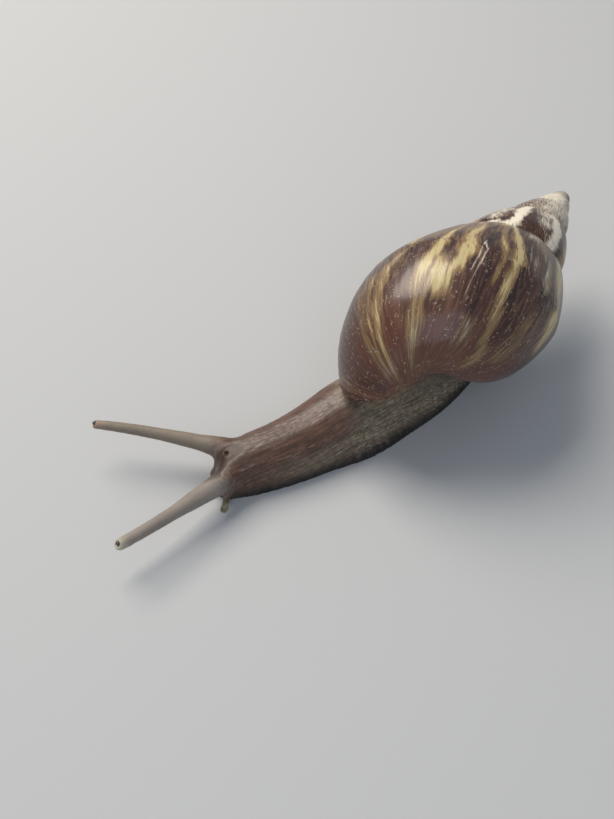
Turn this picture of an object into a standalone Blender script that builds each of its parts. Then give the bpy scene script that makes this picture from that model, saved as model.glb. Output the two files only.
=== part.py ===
"""Giant African land snail, life size, crawling with its feelers out.

The snail heads towards -Y, its left side is +X, and +Z is up. The origin is the middle of
the sole, on the ground. Sizes below are in millimetres and are turned to metres at the end.

The shell is one solid: a whorl that grows by a fixed ratio each turn, wound clockwise seen
from the apex, with a shallow opening at its lip. The body is one loft along a bent midline,
with a stalk that rises into the shell, parted by thin cuts into the nodes of flesh.
"""
import math

import bmesh
import bpy
from mathutils import Matrix, Vector

MM = 0.001
GAP = 0.3                       # clearance between pieces that touch
MERGES = (0.03, 0.02, 0.01, 0.005, 0.002)
NAME = "giant_african_land_snail"

# ---- shell: a cone that each whorl fills, measured from its pointed end -------------------
CONE_LENGTH = 75.4              # virtual tip to the foot of the columella
WHORL_GROWTH = 1.685            # size ratio from one whorl to the next
WHORLS_ABOVE = 4                # whorls above the last one
ROWS_PER_WHORL = 42
TIP_WEAR = 2.3                  # the blunt, worn apex stops this far short of the cone's tip
# the whorl's section, as fractions of the cone length: radius, depth below the tip
PERIPHERY = (0.279, 0.742)
SHOULDER_SLOPE = math.radians(58.8)
SHOULDER_PULL = (0.226, 0.100)  # how far each end of the shoulder's curve stays straight
BASE_PULL = 0.22                # how far the flank runs on below the periphery
BASE_LOW = (0.262, 0.990)       # how wide and deep the base is before it turns in
COLUMELLA_FOOT = (0.0, 0.990)
NEXT_SUTURE = 0.263             # where along the base's curve the next whorl is joined
BASE_DEPTH_POWER = 0.610        # the base deepens more slowly than the whorl widens
BASE_FADE = 1.9                 # radians over which the last whorl takes up that deepening
LIP_LIFT = (-0.004, 0.030)      # how much shallower the lip is, and more at the columella
LIP_LIFT_TURN = 0.8             # radians before the lip where that starts
# growth lines lean back towards the base, in radians
LINE_LEAN = (-0.361, -0.389)
SHOULDER_COLUMNS = 5
BASE_COLUMNS = 9
COLUMELLA_RING = 1.985
# how the shell is carried
APEX = Vector((-17.5, 48.5, 20.9))
SHELL_YAW = math.radians(29.8)  # the apex points backwards and to the right
SHELL_PITCH = math.radians(1.5)
SHELL_ROLL = math.radians(120.9)
# its opening
LIP_WALL = 0.9
COLUMELLA_WALL = 1.8
RECESS_TURN = 0.55              # radians that the opening goes back into the whorl
RECESS_FULL_WIDTH = 11.0        # the opening is that deep where it is this wide
COLLAR_SWELL = 0.06             # radians that the mantle collar bulges out of it

# ---- body: stations along the midline -----------------------------------------------------
#            along Y  across X  half width  height
STATIONS = (
    ("lip",      -42.3,    5.7,     2.6,     5.2),
    ("snout",    -41.7,    5.6,     3.9,     6.6),
    ("brow",     -40.2,    5.4,     4.9,     7.9),
    ("crown",    -36.5,    5.3,     5.2,     8.6),
    ("neck",     -29.0,    5.4,     6.0,     8.6),
    ("nape",     -22.5,    4.9,     6.8,     9.1),
    ("shoulder", -14.5,    3.9,     8.3,    10.6),
    ("waist",     -6.0,    2.1,     8.4,     9.6),
    ("hip",        3.0,   -0.1,     8.2,     7.4),
    ("rump",      14.0,   -4.0,     6.9,     6.3),
    ("tail",      28.0,   -9.2,     4.5,     5.2),
    ("tail_end",  41.0,  -14.2,     2.4,     3.2),
    ("tip",       48.0,  -17.0,     0.5,     0.8),
)
LOFT_STEP = 2.1                 # spacing of the loft's sections
DOME_POINTS = 15
SOLE_POINTS = 3                 # inner points across the flat sole
FRINGE_START = -24.0            # the foot's thin margin begins here
FRINGE_HEIGHT = 1.1
HEAD_TUCK = 0.25                # the head's sole is narrower than the head by this share
HEAD_TURN = math.radians(20.0)  # the head looks to its right
HEAD_END = -35.0
NECK_END = -18.5
TAIL_START = 12.0
# the stalk from the foot up into the shell: an oval on the foot turning into one that
# fills the opening
STALK_FOOT = Vector((1.4, -3.5, 2.3))
STALK_FOOT_HALVES = (Vector((-2.2, 11.0, 0.0)), Vector((6.0, 1.2, 0.0)))
STALK_FILL = (0.76, 0.9)        # shares of the opening's length and width that it fills
STALK_ENTRY = 1.5               # how far it reaches in before it is cut to the shell
STALK_SIDES = 24
STALK_RINGS = 7

# ---- feelers, eyes and mouth ----------------------------------------------------------------
# base, bend and tip of each centre line
UPPER_FEELERS = {
    "upper_tentacle_left": ((7.2, -38.0, 4.8), (12.0, -53.3, 6.3), (14.6, -64.0, 7.2)),
    "upper_tentacle_right": ((4.2, -37.0, 5.9), (-4.7, -48.4, 7.6), (-11.4, -58.6, 8.8)),
}
UPPER_FEELER_RADII = {
    "upper_tentacle_left": (2.6, 1.45, 1.12, 1.0, 0.98),
    "upper_tentacle_right": (2.5, 1.3, 1.05, 0.88, 0.75),
}
UPPER_FEELER_RINGS = 9
UPPER_FEELER_SIDES = 12
LOWER_FEELERS = {
    "lower_tentacle_left": ((7.6, -40.0, 2.9), (10.1, -42.2, 2.1), (12.0, -43.7, 1.0)),
    "lower_tentacle_right": ((2.8, -38.2, 2.9), (0.8, -38.9, 2.2), (-0.8, -39.3, 1.3)),
}
LOWER_FEELER_RADII = {
    "lower_tentacle_left": (1.1, 0.9, 0.72, 0.78),
    "lower_tentacle_right": (1.0, 0.8, 0.65, 0.7),
}
LOWER_FEELER_RINGS = 4
LOWER_FEELER_SIDES = 8
TIP_ROUNDING = (0.0, 0.6, 1.1)  # angles of the rings that round off a feeler's tip
EYE_RADIUS = 0.42
MOUTH_LOBE = (1.5, 1.2, 1.1)
MOUTH_PLACES = ((4.1, -41.4, 1.9), (6.0, -42.2, 1.9))

COLOURS = {
    "shell": ((0.16, 0.07, 0.035), 0.3),
    "flesh": ((0.22, 0.14, 0.09), 0.55),
    "collar": ((0.42, 0.33, 0.2), 0.5),
    "eye": ((0.01, 0.008, 0.008), 0.15),
}


# ---- plain helpers ----------------------------------------------------------------------------
def clear_scene():
    for old in list(bpy.data.objects):
        bpy.data.objects.remove(old, do_unlink=True)


def collection(name):
    made = bpy.data.collections.new(name)
    bpy.context.scene.collection.children.link(made)
    return made


def material(node_name, finish):
    colour, roughness = COLOURS[finish]
    made = bpy.data.materials.new(node_name)
    made.use_nodes = True
    shader = made.node_tree.nodes["Principled BSDF"]
    shader.inputs["Base Color"].default_value = (*colour, 1.0)
    shader.inputs["Roughness"].default_value = roughness
    shader.inputs["Metallic"].default_value = 0.0
    return made


def mesh_from(name, points, faces):
    """A closed mesh in metres from points in millimetres, doubles merged, facing out."""
    mesh = bpy.data.meshes.new(name)
    work = bmesh.new()
    corners = [work.verts.new(Vector(p) * MM) for p in points]
    for face in faces:
        distinct = []
        for index in face:
            if corners[index] not in distinct:
                distinct.append(corners[index])
        if len(distinct) > 2:
            work.faces.new(distinct)
    bmesh.ops.remove_doubles(work, verts=work.verts[:], dist=0.00001)
    bmesh.ops.dissolve_degenerate(work, dist=0.000002, edges=work.edges[:])
    bmesh.ops.recalc_face_normals(work, faces=work.faces[:])
    work.to_mesh(mesh)
    work.free()
    return mesh


def place(mesh, name, finish, group):
    made = bpy.data.objects.new(name, mesh)
    mesh.materials.clear()
    mesh.materials.append(material(name, finish))
    mesh.shade_smooth()
    mesh.set_sharp_from_angle(angle=math.radians(50.0))
    group.objects.link(made)
    return made


def hidden_tool(mesh, name, tools):
    """A cutter or guide, left out of the model."""
    made = bpy.data.objects.new(name, mesh)
    made.hide_render = True
    made.display_type = "WIRE"
    tools.objects.link(made)
    return made


def combined(target, other, operation):
    """The mesh of target after an exact Boolean with other."""
    cut = target.modifiers.new("cut", "BOOLEAN")
    cut.operation = operation
    cut.solver = "EXACT"
    cut.object = other
    bpy.context.view_layer.update()
    shaped = bpy.data.meshes.new_from_object(
        target.evaluated_get(bpy.context.evaluated_depsgraph_get()))
    target.modifiers.remove(cut)
    tidy(shaped)
    keep_largest(shaped)
    target.data = shaped
    return target


def tidy(mesh):
    """Merges points that stand less than a thousandth of a millimetre apart."""
    work = bmesh.new()
    work.from_mesh(mesh)
    bmesh.ops.remove_doubles(work, verts=work.verts[:], dist=0.000001)
    bmesh.ops.dissolve_degenerate(work, dist=0.000001, edges=work.edges[:])
    work.to_mesh(mesh)
    work.free()


def faceted(mesh):
    """Splits every face into triangles that face outwards, merging as little as leaves each
    edge with two faces."""
    for merge in MERGES:
        work = bmesh.new()
        work.from_mesh(mesh)
        bmesh.ops.remove_doubles(work, verts=work.verts[:], dist=merge * MM)
        bmesh.ops.dissolve_degenerate(work, dist=merge * MM, edges=work.edges[:])
        bmesh.ops.triangulate(work, faces=work.faces[:], quad_method="BEAUTY",
                              ngon_method="BEAUTY")
        bmesh.ops.recalc_face_normals(work, faces=work.faces[:])
        if work.calc_volume(signed=True) < 0.0:
            bmesh.ops.reverse_faces(work, faces=work.faces[:])
        closed = all(len(edge.link_faces) == 2 for edge in work.edges)
        if closed:
            work.to_mesh(mesh)
        work.free()
        if closed:
            return
    raise ValueError(mesh.name + " has no clean set of triangles")


def swollen(mesh, amount):
    """A copy of a mesh pushed out along its normals by so many millimetres."""
    work = bmesh.new()
    work.from_mesh(mesh)
    work.normal_update()
    moves = [corner.normal * (amount * MM) for corner in work.verts]
    for corner, move in zip(work.verts, moves):
        corner.co += move
    grown = bpy.data.meshes.new(mesh.name + "_clearance")
    work.to_mesh(grown)
    work.free()
    return grown


def bezier(points, t):
    a, b, c, d = points
    s = 1.0 - t
    return tuple(s**3 * a[i] + 3 * s * s * t * b[i] + 3 * s * t * t * c[i] + t**3 * d[i]
                 for i in (0, 1))


def blend(a, b, t):
    return a + (b - a) * t


def smooth_step(t):
    t = min(1.0, max(0.0, t))
    return t * t * (3.0 - 2.0 * t)


# ---- shell --------------------------------------------------------------------------------------
def base_curve(t):
    """From the periphery (0) in to the foot of the columella (1)."""
    radius, depth = PERIPHERY
    flank = (radius, depth + BASE_PULL * (1.0 - depth))
    return bezier((PERIPHERY, flank, BASE_LOW, COLUMELLA_FOOT), t)


def section(v):
    """Radius and depth of the whorl's section: v 0 at the suture, 1 at the periphery, 2 at
    the foot of the columella. The suture lies on the base of the whorl before."""
    if v > 1.0:
        return base_curve(v - 1.0)
    radius, depth = PERIPHERY
    suture = [size / WHORL_GROWTH for size in base_curve(NEXT_SUTURE)]
    reach = math.dist(suture, PERIPHERY)
    leave = (suture[0] + SHOULDER_PULL[0] * reach * math.sin(SHOULDER_SLOPE),
             suture[1] + SHOULDER_PULL[0] * reach * math.cos(SHOULDER_SLOPE))
    arrive = (radius, depth - SHOULDER_PULL[1] * reach)
    return bezier((suture, leave, arrive, PERIPHERY), v)


def columns():
    """Section positions: the shoulder, one step to the next suture, then the base, with a
    last ring close round the columella."""
    shoulder = [i / SHOULDER_COLUMNS for i in range(SHOULDER_COLUMNS + 1)]
    base = [1.0 + blend(NEXT_SUTURE, 1.0, i / BASE_COLUMNS) for i in range(BASE_COLUMNS)]
    return shoulder + base + [COLUMELLA_RING, 2.0]


def lean(v):
    return LINE_LEAN[0] * v / 2 + LINE_LEAN[1] * (v / 2) ** 2


def whorl_point(turn, v):
    """A point of the shell in its own frame: turn in radians, 0 at the lip."""
    size = WHORL_GROWTH ** (turn / math.tau)
    radius, depth = section(v)
    periphery = PERIPHERY[1]
    below = max(0.0, (depth - periphery) / (1.0 - periphery))
    power = blend(1.0, BASE_DEPTH_POWER, smooth_step((turn + math.tau) / BASE_FADE))
    inwards = 1.0 - radius / PERIPHERY[0]
    near_lip = smooth_step(1.0 + (turn - lean(v)) / LIP_LIFT_TURN)
    lift = (LIP_LIFT[0] + LIP_LIFT[1] * inwards) * near_lip
    deep = size * min(depth, periphery) + below * (size ** power - size * periphery - lift)
    blunt = math.hypot(deep * CONE_LENGTH, TIP_WEAR)
    across = size * radius * CONE_LENGTH
    return Vector((across * math.cos(-turn), across * math.sin(-turn), -blunt))


def wound_back(point, turn):
    """A point of the shell moved back along its own growth."""
    size = WHORL_GROWTH ** (-turn / math.tau)
    return Matrix.Rotation(turn, 3, "Z") @ point * size


def shell_frame():
    """From the shell's own frame (lip, side, apex directions) to the snail's."""
    axis = Vector((-math.sin(SHELL_YAW) * math.cos(SHELL_PITCH),
                   math.cos(SHELL_YAW) * math.cos(SHELL_PITCH), math.sin(SHELL_PITCH)))
    level = axis.cross(Vector((0, 0, 1))).normalized()
    down = axis.cross(level)
    lip = level * math.cos(SHELL_ROLL) + down * math.sin(SHELL_ROLL)
    side = axis.cross(lip)
    return Matrix((lip, side, axis)).transposed()


def placed(points):
    frame = shell_frame()
    return [APEX + frame @ p for p in points]


def aperture_chains():
    """The outer lip and the inner lip (parietal wall, then columella), suture to base."""
    cols = columns()
    first = SHOULDER_COLUMNS + 1
    outer = [whorl_point(lean(v), v) for v in cols]
    inner = [last_whorl_point(0.0, v) for v in cols[first:]]
    inner += [last_whorl_point(step / first, 2.0) for step in range(1, first + 1)]
    inner[0] = outer[0].copy()
    inner[-1] = outer[-1].copy()
    return outer, inner


def last_whorl_point(share, v):
    """share 0 is one turn behind the suture's end, 1 is the lip."""
    turn = -math.tau + share * (math.tau + lean(v))
    return whorl_point(turn, v)


def opening_walls(outer, inner):
    """Where the opening's edge stands between inner (0) and outer lip (1), and its depth."""
    width = (outer - inner).length
    near = min(0.36, COLUMELLA_WALL / max(width, 0.01))
    far = 1.0 - min(0.36, LIP_WALL / max(width, 0.01))
    return near, far, RECESS_TURN * min(1.0, width / RECESS_FULL_WIDTH) ** 0.7


def opening_profile(outer, inner, recessed):
    """Steps across the opening: share of the way to the outer lip, and turn back into the
    whorl. Closed over, it bulges as the soft collar does that fills it."""
    near, far, deep = opening_walls(outer, inner)
    if recessed:
        floor = [(near + 0.04, deep), (0.5, deep), (far - 0.04, deep)]
    else:
        floor = [(near + 0.04, -COLLAR_SWELL), (0.5, -COLLAR_SWELL),
                 (far - 0.04, -COLLAR_SWELL)]
    return [(0.0, 0.0), (near, 0.0)] + floor + [(far, 0.0), (1.0, 0.0)]


def shell_mesh(recessed):
    cols = columns()
    top = SHOULDER_COLUMNS + 1
    points, faces = [], []

    def row(values):
        start = len(points)
        points.extend(values)
        return list(range(start, start + len(values)))

    def skin(a, b):
        for i in range(len(a) - 1):
            faces.append((a[i], a[i + 1], b[i + 1], b[i]))

    # the whorls above, only where they show between two sutures
    steps = WHORLS_ABOVE * ROWS_PER_WHORL
    spire = []
    for step in range(steps + 1):
        turn = -math.tau * (1 + WHORLS_ABOVE) + step * math.tau / ROWS_PER_WHORL
        spire.append(row([whorl_point(turn, v) for v in cols[:top + 1]]))
    for a, b in zip(spire, spire[1:]):
        skin(a, b)
    # the tip: a low dome over the first whorl's upper edge and its starting section
    rim = [r[0] for r in spire[:ROWS_PER_WHORL + 1]] + list(reversed(spire[0][1:top]))
    crown = row([sum((points[i] for i in rim), Vector()) / len(rim) + Vector((0, 0, 0.35))])
    for a, b in zip(rim, rim[1:] + rim[:1]):
        faces.append((a, b, crown[0]))
    # the last whorl, down to the columella, whose line takes only a few of the rows
    body = []
    for step in range(ROWS_PER_WHORL + 1):
        share = step / ROWS_PER_WHORL
        values = [last_whorl_point(share, v) for v in cols]
        nearest = round(share * top) / top
        values[-1] = last_whorl_point(nearest, 2.0)
        body.append(row(values))
    for a, b in zip(body, body[1:]):
        skin(a, b)
    # the opening, from the inner lip across to the outer one
    outer, inner = aperture_chains()
    across = []
    for far_lip, near_lip in zip(outer, inner):
        across.append(row([wound_back(near_lip.lerp(far_lip, share), turn) for share, turn
                           in opening_profile(far_lip, near_lip, recessed)]))
    for a, b in zip(across, across[1:]):
        skin(a, b)
    return mesh_from("shell", placed(points), faces)


def build_collar(shell, group, tools):
    """The mantle collar: the thick fold that fills the shell's opening to its edge."""
    outer, inner = aperture_chains()
    chosen = range(2, len(outer) - 2)
    points, rings = [], []
    for index in chosen:
        near, far, deep = opening_walls(outer[index], inner[index])
        width = (outer[index] - inner[index]).length
        near += 0.04 + (GAP + 0.15) / width
        far -= 0.04 + (GAP + 0.1) / width
        inside = max(deep - 0.07, 0.06)
        shares = (near, blend(near, far, 0.33), blend(near, far, 0.67), far)
        swell = (0.0, -COLLAR_SWELL, -COLLAR_SWELL, 0.0)
        ring = [(s, d) for s, d in zip(shares, swell)]
        ring += [(shares[3], inside), (0.5, inside), (shares[0], inside)]
        start = len(points)
        points += [wound_back(inner[index].lerp(outer[index], s), turn) for s, turn in ring]
        rings.append(list(range(start, start + len(ring))))
    faces = [tuple(rings[0]), tuple(reversed(rings[-1]))]
    for a, b in zip(rings, rings[1:]):
        for i in range(len(a)):
            j = (i + 1) % len(a)
            faces.append((a[i], b[i], b[j], a[j]))
    mesh = mesh_from("mantle_collar", placed(points), faces)
    collar = place(mesh, "mantle_collar", "collar", group)
    combined(collar, hidden_tool(swollen(shell.data, GAP), "shell_walls", tools), "DIFFERENCE")


# ---- body -----------------------------------------------------------------------------------------
def along_body(y):
    """Across, half width and height of the body at y, by a smooth curve through stations."""
    keys = [station[1] for station in STATIONS]
    index = 0
    while index < len(keys) - 2 and y > keys[index + 1]:
        index += 1
    gap = keys[index + 1] - keys[index]
    t = (y - keys[index]) / gap

    def slope(i, item):
        low, high = max(i - 1, 0), min(i + 1, len(keys) - 1)
        return (STATIONS[high][item] - STATIONS[low][item]) / (keys[high] - keys[low])

    found = []
    for item in (2, 3, 4):
        a, b = STATIONS[index][item], STATIONS[index + 1][item]
        rise_a, rise_b = slope(index, item) * gap, slope(index + 1, item) * gap
        found.append((2 * t**3 - 3 * t * t + 1) * a + (t**3 - 2 * t * t + t) * rise_a
                     + (3 * t * t - 2 * t**3) * b + (t**3 - t * t) * rise_b)
    return found


def body_ring(y):
    """One closed section: over the back from left to right, then across the sole."""
    across, half, height = along_body(y)
    step = 0.01
    turn = math.atan2(along_body(y + step)[0] - across, step)
    turn += HEAD_TURN * smooth_step((HEAD_END - y) / 5.0)
    fringe = min(1.0, max(0.0, (y - FRINGE_START) / 10.0))
    tuck = HEAD_TUCK * smooth_step((HEAD_END - y) / 6.0)
    ring = []
    for i in range(DOME_POINTS):
        angle = math.pi * i / (DOME_POINTS - 1)
        side = math.copysign(abs(math.cos(angle)) ** 0.85, math.cos(angle))
        up = math.sin(angle) ** 0.9 * height
        spread = half * (1.0 - 0.1 * fringe)
        if up < FRINGE_HEIGHT:
            spread = half
        spread *= 1.0 - tuck * (1.0 - smooth_step(up / (height * 0.45)))
        ring.append((side * spread, up))
    for i in range(1, SOLE_POINTS + 1):
        ring.append((blend(-half, half, i / (SOLE_POINTS + 1)) * (1.0 - tuck), 0.0))
    return [Vector((across + s * math.cos(turn), y - s * math.sin(turn), up))
            for s, up in ring]


def loft(rings):
    points = [p for ring in rings for p in ring]
    size = len(rings[0])
    faces = [tuple(range(size)), tuple(reversed(range(len(points) - size, len(points))))]
    for start in range(0, len(points) - size, size):
        for i in range(size):
            j = (i + 1) % size
            faces.append((start + i, start + size + i, start + size + j, start + j))
    return points, faces


def body_mesh():
    first, last = STATIONS[0][1], STATIONS[-1][1]
    count = round((last - first) / LOFT_STEP)
    rings = [body_ring(blend(first, last, i / count)) for i in range(count + 1)]
    return mesh_from("body", *loft(rings))


def stalk_mesh():
    """The stalk: a loft of ovals from the foot up into the shell's opening."""
    outer, inner = (placed(chain) for chain in aperture_chains())
    middle = len(outer) // 2
    centre = (outer[middle] + inner[middle] + (outer[0] + outer[-1]) / 2) / 3
    long_half = (outer[-1] - outer[0]) / 2 * STALK_FILL[0]
    wide_half = (outer[middle] - inner[middle]) / 2 * STALK_FILL[1]
    wide_half -= wide_half.project(long_half)
    if long_half.y < 0.0:
        long_half = -long_half
    if wide_half.dot(STALK_FOOT_HALVES[1]) < 0.0:
        wide_half = -wide_half
    inwards = long_half.cross(wide_half).normalized()
    if inwards.z < 0.0:
        inwards = -inwards
    centre += inwards * STALK_ENTRY
    rings = []
    for step in range(STALK_RINGS):
        t = step / (STALK_RINGS - 1)
        spot = STALK_FOOT.lerp(centre, t)
        along = STALK_FOOT_HALVES[0].lerp(long_half, t)
        aside = STALK_FOOT_HALVES[1].lerp(wide_half, t)
        rings.append([spot + along * math.cos(math.tau * i / STALK_SIDES)
                      + aside * math.sin(math.tau * i / STALK_SIDES)
                      for i in range(STALK_SIDES)])
    return mesh_from("stalk", *loft(rings))


def keep_largest(mesh):
    """Drops the crumbs that a cut can leave beside the main piece."""
    work = bmesh.new()
    work.from_mesh(mesh)
    left = set(work.verts)
    pieces = []
    while left:
        piece, front = set(), [left.pop()]
        while front:
            corner = front.pop()
            piece.add(corner)
            for edge in corner.link_edges:
                other = edge.other_vert(corner)
                if other in left:
                    left.remove(other)
                    front.append(other)
        pieces.append(piece)
    if not pieces:
        raise ValueError(mesh.name + " was cut away")
    largest = max(pieces, key=len)
    spare = [corner for corner in work.verts if corner not in largest]
    bmesh.ops.delete(work, geom=spare, context="VERTS")
    work.to_mesh(mesh)
    work.free()


def part_between(whole, name, start, end, group, finish="flesh"):
    """The stretch of the whole body between two cuts across its midline."""
    work = bmesh.new()
    work.from_mesh(whole)
    for y, outwards in ((start, -1.0), (end, 1.0)):
        if y is None:
            continue
        across = along_body(y)[0]
        turn = math.atan2(along_body(y + 0.01)[0] - across, 0.01)
        normal = Vector((math.sin(turn), math.cos(turn), 0.0)) * outwards
        spot = Vector((across, y, 0.0)) - normal * (GAP / 2)
        found = bmesh.ops.bisect_plane(
            work, geom=work.verts[:] + work.edges[:] + work.faces[:],
            plane_co=spot * MM, plane_no=normal, clear_outer=True, dist=0.000001)
        rim = [item for item in found["geom_cut"] if isinstance(item, bmesh.types.BMEdge)]
        bmesh.ops.holes_fill(work, edges=rim)
    bmesh.ops.recalc_face_normals(work, faces=work.faces[:])
    mesh = bpy.data.meshes.new(name)
    work.to_mesh(mesh)
    work.free()
    return place(mesh, name, finish, group)


# ---- feelers, eyes and mouth ---------------------------------------------------------------------
def feeler_mesh(name, route, radii, rings, sides, tools):
    """A tapered tube with a rounded end along a route of three points."""
    base, bend, tip = (Vector(p) for p in route)
    centres = []
    for i in range(rings):
        t = i / (rings - 1)
        centres.append(base * (1 - t) ** 2 + (bend * 2 - (base + tip) / 2) * 2 * t * (1 - t)
                       + tip * t * t)
    heading = (centres[-1] - centres[-2]).normalized()
    data = bpy.data.curves.new(name, "CURVE")
    data.dimensions = "3D"
    data.bevel_depth = MM
    data.bevel_resolution = (sides - 4) // 2
    data.use_fill_caps = True
    spline = data.splines.new("POLY")
    end = radii[-1]
    rounding = [(end * math.sin(a), end * math.cos(a)) for a in TIP_ROUNDING]
    spots = []
    for i, centre in enumerate(centres[:-1]):
        place_in = i / (len(centres) - 1) * (len(radii) - 1)
        low = min(int(place_in), len(radii) - 2)
        spots.append((centre, blend(radii[low], radii[low + 1], place_in - low)))
    spots += [(tip + heading * (forward - end), radius) for forward, radius in rounding]
    spline.points.add(len(spots) - 1)
    for point, (centre, radius) in zip(spline.points, spots):
        point.co = (*(centre * MM), 1.0)
        point.radius = radius
    guide = bpy.data.objects.new(name + "_route", data)
    tools.objects.link(guide)
    bpy.context.view_layer.update()
    mesh = bpy.data.meshes.new_from_object(
        guide.evaluated_get(bpy.context.evaluated_depsgraph_get()))
    bpy.data.objects.remove(guide, do_unlink=True)
    tidy(mesh)
    return mesh


def ball_mesh(name, centre, radii, segments):
    work = bmesh.new()
    bmesh.ops.create_uvsphere(work, u_segments=segments, v_segments=segments * 2 // 3,
                              radius=1.0)
    for corner in work.verts:
        corner.co = Vector([(c + n * r) * MM for c, n, r in zip(centre, corner.co, radii)])
    mesh = bpy.data.meshes.new(name)
    work.to_mesh(mesh)
    work.free()
    return mesh


def build_feelers(head, group, tools):
    clear_of_head = hidden_tool(swollen(head.data, GAP), "head_clearance", tools)
    upper = (UPPER_FEELERS, UPPER_FEELER_RADII, UPPER_FEELER_RINGS, UPPER_FEELER_SIDES)
    lower = (LOWER_FEELERS, LOWER_FEELER_RADII, LOWER_FEELER_RINGS, LOWER_FEELER_SIDES)
    for routes, radii, rings, sides in (upper, lower):
        for name, route in routes.items():
            mesh = feeler_mesh(name, route, radii[name], rings, sides, tools)
            feeler = place(mesh, name, "flesh", group)
            combined(feeler, clear_of_head, "DIFFERENCE")
            if name.startswith("upper"):
                build_eye(feeler, route, radii[name][-1], group, tools)
    return clear_of_head


def build_eye(feeler, route, radius, group, tools):
    """A small dark eye let into the feeler's tip, towards the front and top."""
    tip = Vector(route[2])
    heading = (tip - Vector(route[1])).normalized()
    name = feeler.name.replace("upper_tentacle", "eye")
    spot = tip - heading * radius + (heading + Vector((0, 0, 0.75))).normalized() * radius * 0.8
    eye = place(ball_mesh(name, spot, (EYE_RADIUS,) * 3, 9), name, "eye", group)
    socket = hidden_tool(swollen(eye.data, GAP), name + "_socket", tools)
    combined(feeler, socket, "DIFFERENCE")


def build_mouth(clear_of_head, group, tools):
    """Two soft lobes under the face, joined in the middle."""
    lobes = [ball_mesh("lobe", centre, MOUTH_LOBE, 12) for centre in MOUTH_PLACES]
    mouth = place(lobes[0], "mouth", "flesh", group)
    combined(mouth, hidden_tool(lobes[1], "lobe", tools), "UNION")
    combined(mouth, clear_of_head, "DIFFERENCE")


# ---- the whole snail -----------------------------------------------------------------------------
def main():
    clear_scene()
    group = collection(NAME)
    tools = collection("cutters")
    shell = place(shell_mesh(recessed=True), "shell", "shell", group)
    build_collar(shell, group, tools)
    body = hidden_tool(body_mesh(), "body", tools)
    combined(body, hidden_tool(stalk_mesh(), "stalk", tools), "UNION")
    filled = swollen(shell_mesh(recessed=False), GAP)
    combined(body, hidden_tool(filled, "shell_clearance", tools), "DIFFERENCE")
    head = part_between(body.data, "head", None, HEAD_END, group)
    part_between(body.data, "neck", HEAD_END, NECK_END, group)
    part_between(body.data, "foot_middle", NECK_END, TAIL_START, group)
    part_between(body.data, "tail", TAIL_START, None, group)
    clear_of_head = build_feelers(head, group, tools)
    build_mouth(clear_of_head, group, tools)
    for node in group.objects:
        faceted(node.data)


if __name__ == "__main__":
    main()
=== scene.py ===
"""Giant African land snail: shell, skin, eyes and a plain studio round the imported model.

Laid out as a Blender add-on and run as a script. The snail heads towards -Y, its left side
is +X, +Z is up, and the origin is the middle of its sole. Sizes are worked out in
millimetres and turned to metres when a mesh is made.
"""
import math

import bpy
import numpy as np
from mathutils import Matrix, Vector


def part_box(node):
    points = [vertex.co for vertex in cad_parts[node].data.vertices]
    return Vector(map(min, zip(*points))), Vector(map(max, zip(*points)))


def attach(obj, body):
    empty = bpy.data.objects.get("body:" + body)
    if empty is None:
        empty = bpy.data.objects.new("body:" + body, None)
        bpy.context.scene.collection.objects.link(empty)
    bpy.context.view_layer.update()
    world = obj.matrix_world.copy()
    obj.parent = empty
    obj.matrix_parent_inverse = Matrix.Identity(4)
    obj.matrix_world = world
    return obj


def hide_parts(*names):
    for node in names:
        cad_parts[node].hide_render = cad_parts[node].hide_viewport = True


bl_info = {
    "name": "Giant African land snail",
    "version": (1, 0, 0),
    "blender": (4, 5, 0),
    "location": "3D View > Sidebar > Snail",
    "description": "Dresses the packed snail with its shell, skin, eyes and a plain studio",
    "category": "Object",
}

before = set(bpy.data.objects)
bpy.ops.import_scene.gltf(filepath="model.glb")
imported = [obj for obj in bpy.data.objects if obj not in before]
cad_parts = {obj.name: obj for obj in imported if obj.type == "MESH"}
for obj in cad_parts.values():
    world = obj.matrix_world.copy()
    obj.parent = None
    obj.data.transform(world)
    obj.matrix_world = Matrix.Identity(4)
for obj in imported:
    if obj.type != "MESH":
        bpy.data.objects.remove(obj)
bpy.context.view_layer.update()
MM = 0.001
BODY = "root"

# ---- shell shape: fractions of the cone that the whorls fill -----------------------------
CONE_LENGTH = 75.4
WHORL_GROWTH = 1.685
WHORLS_ABOVE = 4
TIP_WEAR = 2.3
PERIPHERY = (0.279, 0.742)
SHOULDER_SLOPE = math.radians(58.8)
SHOULDER_PULL = (0.226, 0.100)
BASE_PULL = 0.22
BASE_LOW = (0.262, 0.990)
COLUMELLA_FOOT = (0.0, 0.990)
NEXT_SUTURE = 0.263
BASE_DEPTH_POWER = 0.610
BASE_FADE = 1.9
LIP_FULLNESS = 0.065
FOOT_ROUNDING = 1.4
LIP_LIFT = (-0.004, 0.030)
LIP_LIFT_TURN = 0.8
LINE_LEAN = (-0.361, -0.389)
APEX = (-17.5, 48.5, 20.9)
SHELL_YAW = math.radians(29.8)
SHELL_PITCH = math.radians(1.5)
SHELL_ROLL = math.radians(120.9)
LIP_WALL = 0.9
COLUMELLA_WALL = 1.8
RECESS_TURN = 0.55
RECESS_FULL_WIDTH = 11.0
RECESS_POWER = 0.7
RECESS_STEPS = (0.0, 0.06, 0.2, 0.45, 0.75, 1.0)
WALL_SHARE = 0.36
WALL_CORNER = 0.04
LIP_ROUNDING = (-0.008, -0.012)
TIP_DOME = 0.35
FOOT_REACH = 5.0
FOOT_SETTLED = (1.5, 4.5)
# its relief: millimetres of growth per radian, spacings and heights in millimetres
GROWTH_PER_RADIAN = 21.0
RIDGE_SPACING = (0.85, 2.6)
SWELL_HEIGHTS = (0.09, 0.05)
SWELL_SPACING = (7.0, 5.0)
SCAR_WIDTH = 0.022
SCAR_DIP = (0.05, 0.035)
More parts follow.
